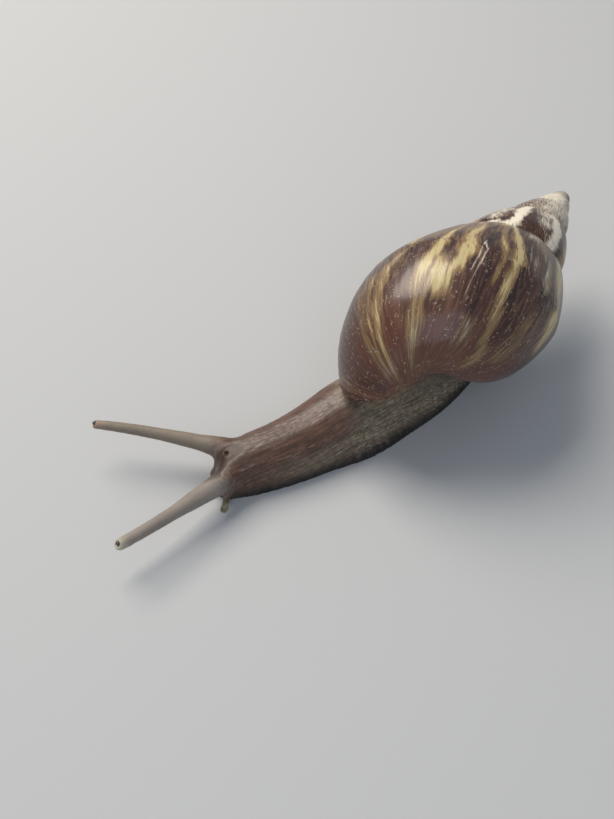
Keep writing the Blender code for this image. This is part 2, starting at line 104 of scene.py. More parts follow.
# where the relief fades out: v at the suture and at the columella, growth at the lip
SUTURE_FADE = (0.0, 0.12)
COLUMELLA_FADE = (1.86, 1.97)
LIP_FADE = (-0.02, -0.004)
COVERED_FROM = 1.16
COVERED_TURN = 0.25
# how finely it is meshed
ROWS_PER_WHORL = 380
SHOULDER_COLUMNS = 24
SUTURE_COLUMNS = 6
BASE_COLUMNS = 46
CROWN_RINGS = 4

# Markings as knots along the section: v (0 suture, 1 periphery, 2 columella), place along
# the growth in radians before the lip, half width in radians, strength
# flames, and a few broad washes that are partly painted highlight
FLAME_AND_HIGHLIGHT_KNOTS = (
    ((0.20, -3.60, 0.05, 0.9), (0.50, -3.60, 0.08, 1.0), (0.65, -3.55, 0.07, 0.8),
     (0.85, -3.62, 0.04, 0.6), (1.05, -3.60, 0.08, 1.0), (1.30, -3.68, 0.06, 0.7)),
    ((0.45, -3.32, 0.02, 0.5), (0.75, -3.30, 0.03, 0.6), (1.00, -3.22, 0.02, 0.4)),
    ((0.15, -3.05, 0.04, 0.4), (0.30, -3.12, 0.06, 0.45), (0.50, -3.18, 0.03, 0.4)),
    ((0.10, -2.62, 0.03, 0.9), (0.35, -2.70, 0.03, 0.9), (0.50, -2.79, 0.04, 1.0),
     (0.75, -2.84, 0.045, 1.0), (1.00, -2.75, 0.035, 0.9), (1.25, -2.72, 0.040, 0.85),
     (1.45, -2.74, 0.040, 0.6), (1.60, -2.80, 0.04, 0.5), (1.78, -3.02, 0.07, 0.45)),
    ((0.35, -2.57, 0.02, 0.5), (0.55, -2.58, 0.03, 0.8), (0.75, -2.64, 0.03, 0.8),
     (0.95, -2.63, 0.02, 0.6), (1.25, -2.57, 0.015, 0.5)),
    ((0.10, -2.50, 0.12, 0.9), (0.22, -2.50, 0.12, 0.8), (0.34, -2.45, 0.05, 0.4)),
    ((0.10, -2.20, 0.04, 0.7), (0.30, -2.22, 0.04, 0.6), (0.45, -2.30, 0.030, 0.7),
     (0.60, -2.30, 0.040, 0.9), (0.80, -2.27, 0.048, 0.85), (1.00, -2.25, 0.050, 0.95),
     (1.15, -2.22, 0.045, 1.0), (1.28, -2.14, 0.042, 1.0), (1.42, -2.04, 0.050, 0.9)),
    ((0.55, -2.20, 0.02, 0.6), (0.80, -2.22, 0.02, 0.5), (1.05, -2.20, 0.012, 0.4)),
    ((0.40, -2.08, 0.02, 0.6), (0.75, -2.04, 0.025, 0.9), (1.00, -1.98, 0.030, 1.0),
     (1.20, -1.90, 0.036, 1.0), (1.32, -1.84, 0.05, 0.9), (1.48, -1.80, 0.05, 0.6)),
    # this broad patch is partly a paler flame and partly a painted highlight
    ((1.22, -1.98, 0.04, 0.7), (1.34, -2.00, 0.09, 0.95), (1.45, -2.03, 0.06, 0.9)),
    ((1.02, -1.67, 0.02, 0.5), (1.12, -1.58, 0.03, 0.6), (1.25, -1.44, 0.05, 0.6),
     (1.36, -1.38, 0.02, 0.4)),
    ((1.15, -1.50, 0.02, 0.5), (1.35, -1.39, 0.04, 0.66), (1.55, -1.31, 0.045, 0.68),
     (1.70, -1.26, 0.045, 0.68), (1.88, -1.23, 0.04, 0.6)),
    ((1.30, -1.25, 0.015, 0.5), (1.60, -1.17, 0.022, 0.6), (1.85, -1.10, 0.02, 0.5)),
    ((1.40, -1.10, 0.03, 0.4), (1.70, -1.04, 0.035, 0.45), (1.90, -1.00, 0.03, 0.4)),
    ((1.50, -1.84, 0.04, 0.45), (1.66, -1.82, 0.06, 0.62), (1.86, -1.76, 0.04, 0.55)),
    ((1.55, -2.50, 0.05, 0.4), (1.66, -2.55, 0.05, 0.35)),
    ((1.35, -3.18, 0.06, 0.3), (1.62, -3.22, 0.08, 0.35)),
    ((1.70, -0.20, 0.012, 0.45), (1.85, -0.10, 0.012, 0.5)),
    # these two broad, faint washes are partly paler flames and partly a painted highlight
    ((0.05, -2.05, 0.32, 0.30), (0.50, -2.00, 0.28, 0.27), (0.95, -1.80, 0.18, 0.22)),
    ((1.00, -1.62, 0.10, 0.25), (1.30, -1.35, 0.14, 0.30), (1.60, -1.15, 0.12, 0.22)),
    ((0.10, -0.30, 0.03, 0.5), (0.60, -0.36, 0.04, 0.6), (1.20, -0.30, 0.02, 0.4)),
    ((0.10, -0.85, 0.04, 0.7), (0.50, -0.92, 0.05, 0.8), (1.20, -0.85, 0.03, 0.5)),
    ((0.10, -1.25, 0.03, 0.6), (0.60, -1.32, 0.04, 0.6), (1.05, -1.27, 0.02, 0.4)),
    ((0.10, -1.62, 0.05, 0.8), (0.50, -1.70, 0.06, 0.9), (0.95, -1.66, 0.03, 0.7)),
    ((0.10, -4.15, 0.05, 0.8), (0.60, -4.20, 0.06, 0.9), (1.10, -4.12, 0.05, 0.8),
     (1.55, -4.20, 0.05, 0.7), (1.80, -4.45, 0.05, 0.6)),
    ((0.30, -4.58, 0.03, 0.6), (0.90, -4.65, 0.04, 0.7), (1.50, -4.60, 0.02, 0.5)),
    ((0.10, -5.02, 0.05, 0.9), (0.70, -5.12, 0.07, 1.0), (1.30, -5.02, 0.06, 0.8),
     (1.75, -5.22, 0.05, 0.7)),
    ((0.40, -5.45, 0.02, 0.5), (1.00, -5.50, 0.03, 0.6), (1.40, -5.45, 0.02, 0.5)),
    ((0.10, -5.85, 0.06, 0.9), (0.60, -5.95, 0.05, 0.9), (1.20, -5.85, 0.07, 0.8),
     (1.60, -5.95, 0.04, 0.6)),
    ((0.10, -6.45, 0.07, 0.9), (0.60, -6.55, 0.06, 0.9), (1.26, -6.42, 0.07, 0.8)),
    ((0.10, -6.95, 0.05, 0.8), (0.60, -7.02, 0.05, 0.8), (1.26, -6.88, 0.07, 0.9)),
    ((0.10, -7.48, 0.06, 0.7), (0.60, -7.52, 0.05, 0.7), (1.26, -7.40, 0.08, 0.8)),
    ((0.90, -7.78, 0.06, 0.6), (1.10, -7.72, 0.10, 0.9), (1.26, -7.60, 0.14, 1.0)),
    ((0.55, -10.05, 0.08, 0.5), (0.80, -10.02, 0.12, 0.6), (1.12, -9.98, 0.14, 0.6)),
    ((1.12, -10.10, 0.12, 0.8), (1.26, -10.05, 0.18, 0.9)),
)
# Patches of the spire worn to cream, pale patches along the suture that are painted reflection,
# and dark ones
CREAM_AND_REFLECTION_PATCHES = (
    ((0.00, -9.42, 0.13, 0.9), (0.50, -9.50, 0.14, 1.0), (0.90, -9.45, 0.15, 1.0),
     (1.26, -9.33, 0.14, 1.0)),
    ((0.00, -8.74, 0.08, 0.8), (0.30, -8.68, 0.10, 1.0), (0.75, -8.62, 0.10, 1.0),
     (1.00, -8.58, 0.10, 1.0), (1.15, -8.48, 0.14, 1.0), (1.26, -8.32, 0.20, 0.9)),
    ((1.12, -8.25, 0.05, 0.6), (1.20, -8.10, 0.18, 0.8), (1.26, -7.95, 0.26, 0.8)),
    ((0.00, -9.14, 0.22, 0.58), (0.60, -9.22, 0.20, 0.56), (1.10, -9.16, 0.15, 0.54)),
    ((0.00, -8.95, 0.14, 0.60), (0.25, -8.95, 0.12, 0.50), (0.42, -8.93, 0.08, 0.35)),
    ((0.00, -8.25, 0.32, 0.56), (0.60, -8.28, 0.30, 0.54), (1.05, -8.20, 0.28, 0.52)),
    ((0.00, -7.85, 0.12, 0.45), (0.60, -7.90, 0.10, 0.45)),
    # these two, along the suture, are painted reflection of glancing light, not wear
    ((0.00, -3.10, 0.30, 0.45), (0.35, -3.05, 0.22, 0.35)),
    ((0.00, -2.40, 0.26, 0.45), (0.40, -2.35, 0.16, 0.3)),
    ((0.25, -3.22, 0.05, 0.3), (0.60, -3.28, 0.07, 0.5), (1.05, -3.20, 0.05, 0.35)),
    ((0.30, -3.05, 0.03, 0.3), (0.75, -3.05, 0.05, 0.4), (1.10, -2.95, 0.04, 0.35)),
    ((0.80, -2.44, 0.009, 0.6), (1.10, -2.41, 0.011, 0.6), (1.45, -2.33, 0.010, 0.5)),
    ((0.85, -2.40, 0.007, 0.5), (1.05, -2.37, 0.008, 0.55), (1.30, -2.30, 0.008, 0.5)),
    ((0.50, -2.95, 0.010, 0.5), (0.80, -2.95, 0.012, 0.5), (1.20, -2.88, 0.010, 0.4)),
    ((1.50, -2.50, 0.04, 0.3), (1.58, -2.51, 0.06, 0.55), (1.66, -2.52, 0.04, 0.3)),
    ((1.05, -1.62, 0.05, 0.4), (1.22, -1.48, 0.07, 0.5), (1.35, -1.40, 0.03, 0.3)),
)
DARK_PATCHES = (
    ((0.35, -9.02, 0.05, 0.7), (0.60, -8.96, 0.07, 0.9), (1.00, -8.86, 0.09, 1.0),
     (1.26, -8.74, 0.08, 1.0)),
    ((0.10, -9.85, 0.07, 0.7), (0.50, -9.80, 0.07, 0.9), (0.85, -9.76, 0.08, 1.0),
     (1.10, -9.63, 0.09, 1.0), (1.26, -9.52, 0.05, 0.9)),
    ((0.10, -3.45, 0.05, 0.8), (0.60, -3.44, 0.06, 0.9), (1.00, -3.45, 0.05, 0.5)),
    ((0.10, -2.92, 0.08, 0.9), (0.40, -2.92, 0.05, 0.8), (0.90, -2.95, 0.05, 0.6)),
    ((0.60, -2.48, 0.06, 0.7), (1.00, -2.48, 0.07, 0.7), (1.50, -2.45, 0.10, 0.5)),
    ((1.45, -0.95, 0.08, 0.6), (1.90, -0.85, 0.10, 0.6)),
    ((1.20, -0.60, 0.28, 0.9), (1.95, -0.52, 0.32, 1.0)),
)
# Seed and widening of each kind of mark, and the strength of the cream patches
FLAME_LAY = (31, 1.7)
CREAM_LAY = (41, 1.2)
DARK_LAY = (51, 1.3)
CREAM_STRENGTH = 0.9
# Wear of the tip: how strong, and over which growth it comes in. Growth of the dark rim
TIP_WORN = 0.52
TIP_WORN_OVER = (-10.2, -11.6)
DARK_RIM = (-0.09, -0.03)
# Healed breaks: place, height of the step in millimetres, raggedness in radians
SCARS = (
    (-3.45, 0.06, 0.010),
    (-2.95, 0.06, 0.008),
    (-2.45, 0.13, 0.022),
    (-1.95, 0.07, 0.008),
    (-1.05, 0.05, 0.006),
    (-0.42, 0.06, 0.006),
)

# ---- body: midline (along Y, across X, half width, height) in millimetres ----------------
MIDLINE = np.array((
    (-42.3, 5.7, 2.6, 5.2), (-41.7, 5.6, 3.9, 6.6), (-40.2, 5.4, 4.9, 7.9),
    (-36.5, 5.3, 5.2, 8.6), (-29.0, 5.4, 6.0, 8.6), (-22.5, 4.9, 6.8, 9.1),
    (-14.5, 3.9, 8.3, 10.6), (-6.0, 2.1, 8.4, 9.6), (3.0, -0.1, 8.2, 7.4),
    (14.0, -4.0, 6.9, 6.3), (28.0, -9.2, 4.5, 5.2), (41.0, -14.2, 2.4, 3.2),
    (48.0, -17.0, 0.5, 0.8),
))
UPPER_FEELERS = {
    "left": ((7.2, -38.0, 4.8), (12.0, -53.3, 6.3), (14.6, -64.0, 7.2)),
    "right": ((4.2, -37.0, 5.9), (-4.7, -48.4, 7.6), (-11.4, -58.6, 8.8)),
}
LOWER_TIPS = ((12.0, -43.7, 1.0), (-0.8, -39.3, 1.3))
CROWN_PIT = (4.96, -39.52, 7.55)
MOUTH = (4.8, -42.0, 2.3)
FEELER_ROOT = {"left": 0.32, "right": 0.16}
# a rough line along each side of the neck: along the body, and how far round from the back
SIDE_LINE = ((-42.0, -38.0, -30.0, -21.0, -15.0, -8.0), (2.6, 4.0, 5.0, 6.0, 6.6, 6.6))
# strength of the painted shade over the face
FACE_PAINTED_SHADE = 0.62
SOLE_FLAT = 0.12
# heights of the skin's forms
PIT_DEPTH = 0.36
FACE_HOLLOW = 0.14
WRINKLE_HEIGHT = 0.035
RING_HEIGHT = 0.02
SWELLING_HEIGHT = 0.05
# length and width of the tubercles in each kind of row
DASH_SIZE = (1.35, 0.42)
FOLD_SIZE = (3.4, 0.62)
NET_SIZE = (1.6, 0.66)
# upper feelers: distances from the middle line, and shares of the way to the tip
ON_FEELER = ((3.4, 2.4), (0.06, 0.22))
AT_ROOT = ((5.0, 3.0), (0.34, 0.16))
AT_TIP = ((3.2, 2.2), (0.85, 1.0))
# places along Y, from the shell to the head
REAR_TO_NECK = (-13.0, -19.0)
TO_FRONT = (-24.0, -37.0)
TO_FACE = (-35.5, -38.0)
FACE_EDGE = ((-41.5, -37.0, -33.0), (2.1, 1.5, 0.0))
FLESH = ("head", "neck", "foot_middle", "tail", "mantle_collar", "mouth",
         "upper_tentacle_left", "upper_tentacle_right",
         "lower_tentacle_left", "lower_tentacle_right")
EYES = ("eye_left", "eye_right")

# ---- stage, in metres --------------------------------------------------------------------
FLOOR_SIZE = 4.0
FLOOR_DROP = 0.00002
# name, place, the point it looks at, size, share of the key light's power, colour
LIGHTS = (
    ("key_softbox", (-0.33, -0.12, 0.49), (0.0, 0.0, 0.01), 0.40, 1.0, "#fff6ea"),
    ("fill_softbox", (0.42, -0.25, 0.34), (0.0, -0.01, 0.01), 0.5, 0.25, "#e6efff"),
)
CAMERA_PLACE = (0.1224, -0.0834, 0.1575)
CAMERA_AIM = (-0.004, -0.019, 0.0)
CAMERA_LENS = 48.5
SENSOR_WIDTH = 36.0


# ---- plain helpers -----------------------------------------------------------------------
def linear(code):
    """Linear colour from an sRGB hex code."""
    found = []
    for start in (1, 3, 5):
        part = int(code[start:start + 2], 16) / 255
        found.append(part / 12.92 if part <= 0.04045 else ((part + 0.055) / 1.055) ** 2.4)
    return tuple(found)


def step_between(low, high, values):
    """0 below low, 1 above high and a smooth rise between them."""
    t = np.clip((values - low) / (high - low), 0.0, 1.0)
    return t * t * (3.0 - 2.0 * t)


def bell(values, centre, half):
    """1 at the centre, 0 beyond twice the half width."""
    return 1.0 - step_between(0.0, 2.0 * half, np.abs(values - centre))


def wander(values, seed):
    """Smooth random numbers from -1 to 1 along a line, one knot per unit."""
    knots = np.random.default_rng(seed).uniform(-1.0, 1.0, 4096)
    low = np.floor(values).astype(int)
    t = values - low
    t = t * t * (3.0 - 2.0 * t)
    return knots[low % 4096] * (1.0 - t) + knots[(low + 1) % 4096] * t


def lattice(cells, seed):
    """A random number from 0 to 1 for each whole-number cell."""
    mixed = np.full(cells.shape[0], seed * 374761393 + 668265263, dtype=np.uint64)
    for axis, prime in enumerate((73856093, 19349663, 83492791)[:cells.shape[1]]):
        mixed ^= (cells[:, axis].astype(np.int64) * prime).astype(np.uint64)
        mixed = (mixed * np.uint64(2654435761)) & np.uint64(0xFFFFFFFF)
        mixed ^= mixed >> np.uint64(15)
    return (mixed % np.uint64(1000003)).astype(float) / 1000003.0


def grain(points, size, seed):
    """Smooth random numbers from -1 to 1 in space, with knots so many millimetres apart."""
    scaled = points / size
    low = np.floor(scaled)
    t = scaled - low
    t = t * t * (3.0 - 2.0 * t)
    total = np.zeros(len(points))
    for corner in np.ndindex(2, 2, 2):
        weight = np.prod(np.where(np.array(corner) == 1, t, 1.0 - t), axis=1)
        total += weight * lattice(low + np.array(corner), seed)
    return total * 2.0 - 1.0


def pebbles(along, across, seed):
    """A field of jittered cells: how far inside its own cell each place is (0 on the groove
    between two cells), and the cell's own random number."""
    place = np.column_stack((along, across))
    low = np.floor(place)
    first = np.full(len(place), 9.0)
    second = first.copy()
    number = np.zeros(len(place))
    for shift in np.ndindex(3, 3):
        cell = low + np.array(shift) - 1.0
        centre = cell + 0.15 + 0.7 * np.column_stack(
            (lattice(cell, seed), lattice(cell, seed + 1)))
        distance = np.linalg.norm(centre - place, axis=1)
        nearer = distance < first
        second = np.where(nearer, first, np.minimum(second, distance))
        number = np.where(nearer, lattice(cell, seed + 2), number)
        first = np.where(nearer, distance, first)
    return second - first, number


def deselect():
    """Leaves edit mode, with nothing selected."""
    if bpy.context.object and bpy.context.object.mode != "OBJECT":
        bpy.ops.object.mode_set(mode="OBJECT")
    bpy.ops.object.select_all(action="DESELECT")


def choose(*objects):
    """Selects only these objects, the last one active."""
    deselect()
    for chosen in objects:
        chosen.select_set(True)
    bpy.context.view_layer.objects.active = objects[-1]


def apply_modifier(piece, kind, **settings):
    """Adds a modifier with its settings and applies it."""
    choose(piece)
    made = piece.modifiers.new(kind.lower(), kind)
    for name, value in settings.items():
        setattr(made, name, value)
    bpy.ops.object.modifier_apply(modifier=made.name)


def places(mesh):
    """A mesh's points in millimetres."""
    found = np.empty(len(mesh.vertices) * 3)
    mesh.vertices.foreach_get("co", found)
    return found.reshape(-1, 3) / MM


def move_to(mesh, points):
    """Puts a mesh's points at these places, in millimetres."""
    mesh.vertices.foreach_set("co", (points * MM).ravel())
    mesh.update()


def directions(mesh):
    """Each point's normal."""
    found = np.empty(len(mesh.vertices) * 3)
    mesh.vertex_normals.foreach_get("vector", found)
    return found.reshape(-1, 3)


def settle(mesh, rounds, weight=1.0, keep_volume=True):
    """Evens out a surface over so many rounds, where weight is above 0."""
    edges = np.empty(len(mesh.edges) * 2, dtype=np.int64)
    mesh.edges.foreach_get("vertices", edges)
    start, end = edges.reshape(-1, 2).T
    count = len(mesh.vertices)
    both = np.concatenate((start, end))
    other = np.concatenate((end, start))
    links = np.bincount(both, minlength=count).astype(float)
    points = places(mesh)
    weight = np.broadcast_to(np.asarray(weight, dtype=float), (count,))[:, None]
    for _ in range(rounds):
        for pull in ((0.5, -0.53) if keep_volume else (0.5,)):
            mean = np.column_stack([np.bincount(both, points[other, axis], count)
                                    for axis in range(3)]) / links[:, None]
            points = points + (mean - points) * pull * weight
    move_to(mesh, points)


def add_node(tree, kind, inputs=None, links=None, **settings):
    """Adds a node with its settings, input values and incoming links."""
    made = tree.nodes.new(kind)
    for name, value in settings.items():
        setattr(made, name, value)
    for name, value in (inputs or {}).items():
        made.inputs[name].default_value = value
    for name, socket in (links or {}).items():
        tree.links.new(socket, made.inputs[name])
    return made


def new_finish(name):
    """A new material, its node tree and its shader."""
    made = bpy.data.materials.new(name)
    made.use_nodes = True
    tree = made.node_tree
    return made, tree, tree.nodes["Principled BSDF"]


# ---- shell -------------------------------------------------------------------------------
def curve(a, b, c, d, t):
    """Radius and depth along a Bezier curve from a to d, with b and c as its handles."""
    s = 1.0 - t
    return [s**3 * a[i] + 3 * s * s * t * b[i] + 3 * s * t * t * c[i] + t**3 * d[i]
            for i in (0, 1)]


def section(v):
    """Radius and depth of the whorl's section: v 0 at the suture, 1 at the periphery, 2 at
    the foot of the columella."""
    radius, depth = PERIPHERY
    flank = (radius, depth + BASE_PULL * (1.0 - depth))
    ends = (PERIPHERY, flank, BASE_LOW, COLUMELLA_FOOT)
    base = curve(*ends, np.clip(v - 1.0, 0.0, 1.0))
    suture = [size / WHORL_GROWTH for size in curve(*ends, NEXT_SUTURE)]
    reach = math.dist(suture, PERIPHERY)
    leave = (suture[0] + SHOULDER_PULL[0] * reach * math.sin(SHOULDER_SLOPE),
             suture[1] + SHOULDER_PULL[0] * reach * math.cos(SHOULDER_SLOPE))
    arrive = (radius, depth - SHOULDER_PULL[1] * reach)
    shoulder = curve(suture, leave, arrive, PERIPHERY, np.clip(v, 0.0, 1.0))
    return [np.where(v > 1.0, b, s) for b, s in zip(base, shoulder)]


def lean(v):
    """How far the growth lines lean back at v, in radians."""
    return LINE_LEAN[0] * v / 2 + LINE_LEAN[1] * (v / 2) ** 2


def lip_turn(v):
    """Where the lip is at v: full near its foot."""
    return lean(v) + LIP_FULLNESS * bell(v, 1.77, 0.15)


def whorl_points(turn, v):
    """Points of the shell in its own frame, in millimetres: turn in radians, 0 at the lip."""
    turn, v = np.broadcast_arrays(np.asarray(turn, dtype=float), np.asarray(v, dtype=float))
    size = WHORL_GROWTH ** (turn / math.tau)
    radius, depth = section(v)
    periphery = PERIPHERY[1]
    below = np.maximum(0.0, (depth - periphery) / (1.0 - periphery))
    power = 1.0 + (BASE_DEPTH_POWER - 1.0) * step_between(-math.tau, BASE_FADE - math.tau, turn)
    inwards = 1.0 - radius / PERIPHERY[0]
    near_lip = step_between(-LIP_LIFT_TURN, 0.0, turn - lean(v))
    lift = (LIP_LIFT[0] + LIP_LIFT[1] * inwards) * near_lip
    deep = size * np.minimum(depth, periphery)
    deep = deep + below * (size ** power - size * periphery - lift)
    blunt = np.hypot(deep * CONE_LENGTH, TIP_WEAR)
    across = size * radius * CONE_LENGTH
    return np.stack((across * np.cos(-turn), across * np.sin(-turn), -blunt), axis=-1)


def wound_back(points, turn):
    """Points of the shell moved back along its own growth."""
    turn = np.asarray(turn)
    size = WHORL_GROWTH ** (-turn / math.tau)
    x, y, z = points[..., 0], points[..., 1], points[..., 2]
    return np.stack(((x * np.cos(turn) - y * np.sin(turn)) * size,
                     (x * np.sin(turn) + y * np.cos(turn)) * size, z * size), axis=-1)


def shell_axes():
    """The shell's own frame (lip, side and apex directions) in the snail's."""
    axis = Vector((-math.sin(SHELL_YAW) * math.cos(SHELL_PITCH),
                   math.cos(SHELL_YAW) * math.cos(SHELL_PITCH), math.sin(SHELL_PITCH)))
    level = axis.cross(Vector((0, 0, 1))).normalized()
    down = axis.cross(level)
    lip = level * math.cos(SHELL_ROLL) + down * math.sin(SHELL_ROLL)
    return Matrix((lip, axis.cross(lip), axis)).transposed()


def relief(growth, v, ridge_height):
    """Height of the shell's surface over its smooth shape, in millimetres."""
    mm_along = growth * GROWTH_PER_RADIAN
    fine, coarse = (mm_along / spacing for spacing in RIDGE_SPACING)
    ridges = wander(fine + 0.25 * wander(v * 4.0, 12), 11)
    ridges += 0.6 * wander(coarse + 0.3 * wander(v * 3.0, 14), 13)
    height = ridge_height * ridges * (0.55 + 0.45 * wander(mm_along / 9.0, 15))
    height += SWELL_HEIGHTS[0] * wander(mm_along / SWELL_SPACING[0], 16) \
        + SWELL_HEIGHTS[1] * wander(mm_along / SWELL_SPACING[1] + v * 3.0, 17)
    for place, rise, ragged in SCARS:
        line = place + ragged * wander(v * 16.0, 18) + 0.5 * ragged * wander(v * 45.0, 19)
        behind = growth - line
        step = np.exp(-((behind / SCAR_WIDTH) ** 2))
        height += rise * step * (0.7 + 0.3 * wander(v * 9.0, 20))
        height -= 0.5 * rise * np.exp(-(((behind + SCAR_DIP[0]) / SCAR_DIP[1]) ** 2))
    return height * WHORL_GROWTH ** (np.minimum(growth, 0.0) / math.tau)


def surface_points(turn, v, ridge_height):
    """The shell's outer surface with its relief, which fades at sutures and at the lip."""
    small = 0.002
    smooth = whorl_points(turn, v)
    along = whorl_points(turn + small, v) - whorl_points(turn - small, v)
    inner_v = np.clip(v, small, 2.0 - small)
    down = whorl_points(turn, inner_v + small) - whorl_points(turn, inner_v - small)
    normal = np.cross(along, down)
    normal /= np.maximum(np.linalg.norm(normal, axis=-1, keepdims=True), 1e-9)
    outward = smooth * (1.0, 1.0, 0.0)
    flip = np.sign(np.sum(normal * outward, axis=-1, keepdims=True))
    normal *= np.where(flip == 0, 1.0, flip)
    growth = turn - lean(v)
    fade = step_between(*SUTURE_FADE, v) * (1.0 - step_between(*COLUMELLA_FADE, v))
    fade = fade * (1.0 - step_between(*LIP_FADE, growth))
    # where the next whorl or the opening covers it
    above = turn < -math.tau + 1e-9
    fade = fade * np.where(above, 1.0 - step_between(COVERED_FROM, 1.0 + NEXT_SUTURE, v), 1.0)
    first = (turn < -math.tau + COVERED_TURN) & ~above & (v > COVERED_FROM)
    fade = np.where(first, fade * step_between(-math.tau, COVERED_TURN - math.tau, turn), fade)
    return smooth + normal * (relief(growth, v, ridge_height) * fade)[..., None]


def eased(v, at, values):
    """Values between knots, with the corners at the knots rounded off."""
    fine = np.linspace(at[0], at[-1], 65)
    rough = np.pad(np.interp(fine, at, values), 6, mode="edge")
    return np.interp(v, fine, np.convolve(rough, np.hanning(15)[1:-1] / 7.0, "valid"))


def marks_of(growth, v, marks, seed, spread):
    """How strongly a list of marks colours each place, from 0 to about 1. Spread widens
    them all."""
    total = np.zeros(growth.shape)
    for index, knots in enumerate(marks):
        at, place, half, strength = np.array(knots).T
        line = eased(v, at, place) + 0.010 * wander(v * 7.0 + index * 7.0, seed)
        width = eased(v, at, half) * (0.95 + 0.25 * wander(v * 11.0 + index * 5.0, seed + 1))
        width = width * spread
        ends = step_between(at[0] - 0.12, at[0] + 0.02, v)
        ends = ends * (1.0 - step_between(at[-1] - 0.02, at[-1] + 0.12, v))
        total = np.maximum(total, eased(v, at, strength) * ends * bell(growth, line, width))
    return total


def shell_columns():
    """The places v of the shell's columns, from the suture to the columella's foot."""
    shoulder = np.linspace(0.0, 1.0, SHOULDER_COLUMNS + 1)
    to_suture = np.linspace(1.0, 1.0 + NEXT_SUTURE, SUTURE_COLUMNS + 1)[1:]
    base = np.linspace(1.0 + NEXT_SUTURE, 2.0, BASE_COLUMNS + 1)[1:]
    return np.concatenate((shoulder, to_suture, base))


def tip_dome(spire, first):
    """A low dome over the first whorl's upper edge and its starting section."""
    rim = np.concatenate((spire[:ROWS_PER_WHORL + 1, 0], spire[0, first - 1:0:-1]))
    shares = np.linspace(0.0, 1.0, CROWN_RINGS + 1)[:, None, None]
    dome = rim + (rim.mean(axis=0) - rim) * shares
    dome[..., 2] += TIP_DOME * np.sin(shares[..., 0] * math.pi / 2)
    return np.concatenate((dome, dome[:, :1]), axis=1)


def opening_grid(cols, first):
    """The opening, from the inner lip down its hollow and across to the outer lip: its
    points, and the growth and v of each."""
    outer = whorl_points(lip_turn(cols), cols)
    steps = np.arange(1, first + 1) / first
    inner = np.concatenate((
        whorl_points(-math.tau, cols[first:]),
        whorl_points(-math.tau + steps * (math.tau + lean(2.0)), 2.0)))
    inner[0], inner[-1] = outer[0], outer[-1]
    width = np.linalg.norm(outer - inner, axis=1)
    near = np.minimum(WALL_SHARE, COLUMELLA_WALL / np.maximum(width, 0.01))
    far = 1.0 - np.minimum(WALL_SHARE, LIP_WALL / np.maximum(width, 0.01))
    low, high = near + WALL_CORNER, far - WALL_CORNER
    deep = RECESS_TURN * np.minimum(1.0, width / RECESS_FULL_WIDTH) ** RECESS_POWER
    lip_round = np.minimum(1.0, width / 3.0)
    # shares of the way across, and how far back along the growth, in radians
    across = [(0 * near, 0 * near)]
    across += [(near * part, LIP_ROUNDING[0] * lip_round) for part in (0.3, 0.7)]
    across += [(near + WALL_CORNER * down, deep * down) for down in RECESS_STEPS]
    across += [(low + (high - low) * part, deep) for part in (0.2, 0.4, 0.6, 0.8)]
    across += [(far - WALL_CORNER * down, deep * down) for down in reversed(RECESS_STEPS)]
    across += [(far + (1.0 - far) * part, LIP_ROUNDING[1] * lip_round)
               for part in (0.4, 0.75)]
    across.append((1.0 + 0 * near, 0 * near))
    points = np.stack([wound_back(inner + (outer - inner) * share[:, None], turn)
                       for share, turn in across], axis=1)
    depth = np.array([np.max(turn) / RECESS_TURN for _, turn in across])
    side = np.where(np.arange(len(depth)) < len(depth) / 2, -math.tau, 0.0)
    growth = np.where(depth > 0.15, math.tau, side)
    shape = points.shape[:2]
    return points, np.broadcast_to(growth, shape), np.broadcast_to(cols[:, None], shape)


def face_corners(values):
    """The values at the four corners of each face of a grid."""
    return np.stack((values[:-1, :-1], values[:-1, 1:], values[1:, 1:], values[1:, :-1]), 2)


def build_shell_mesh(ridge_height):
    """Points, faces and the growth coordinates of each face corner."""
    cols = shell_columns()
    first = SHOULDER_COLUMNS + SUTURE_COLUMNS
    # the whorls above, only where they show between two sutures, and the tip
    start = -math.tau * (1 + WHORLS_ABOVE)
    turn = start + np.arange(WHORLS_ABOVE * ROWS_PER_WHORL + 1) * math.tau / ROWS_PER_WHORL
    turn, v = np.meshgrid(turn, cols[:first + 1], indexing="ij")
    spire = surface_points(turn, v, ridge_height)
    dome = tip_dome(spire, first)
    at_start = np.full(dome.shape[:2], start)
    grids = [(spire, turn - lean(v), v), (dome, at_start, np.zeros_like(at_start))]
    # the last whorl, down to the columella, and its opening
    share = np.linspace(0.0, 1.0, ROWS_PER_WHORL + 1)
    share, v = np.meshgrid(share, cols, indexing="ij")
    turn = -math.tau + share * (math.tau + lip_turn(v))
    last = surface_points(turn, v, ridge_height)
    nearest = np.round(share[:, -1] * first) / first
    last[:, -1] = whorl_points(-math.tau + nearest * (math.tau + lean(2.0)), 2.0)
    grids += [(last, turn - lean(v), v), opening_grid(cols, first)]

    points, faces, corners = [], [], []
    count = 0
    for grid, growth, v in grids:
        index = count + np.arange(growth.size).reshape(growth.shape)
        points.append(grid.reshape(-1, 3))
        faces.append(face_corners(index).reshape(-1, 4))
        corners.append(face_corners(np.stack((growth, v), -1)).reshape(-1, 4, 2))
        count += growth.size
    return np.concatenate(points), np.concatenate(faces), np.concatenate(corners)


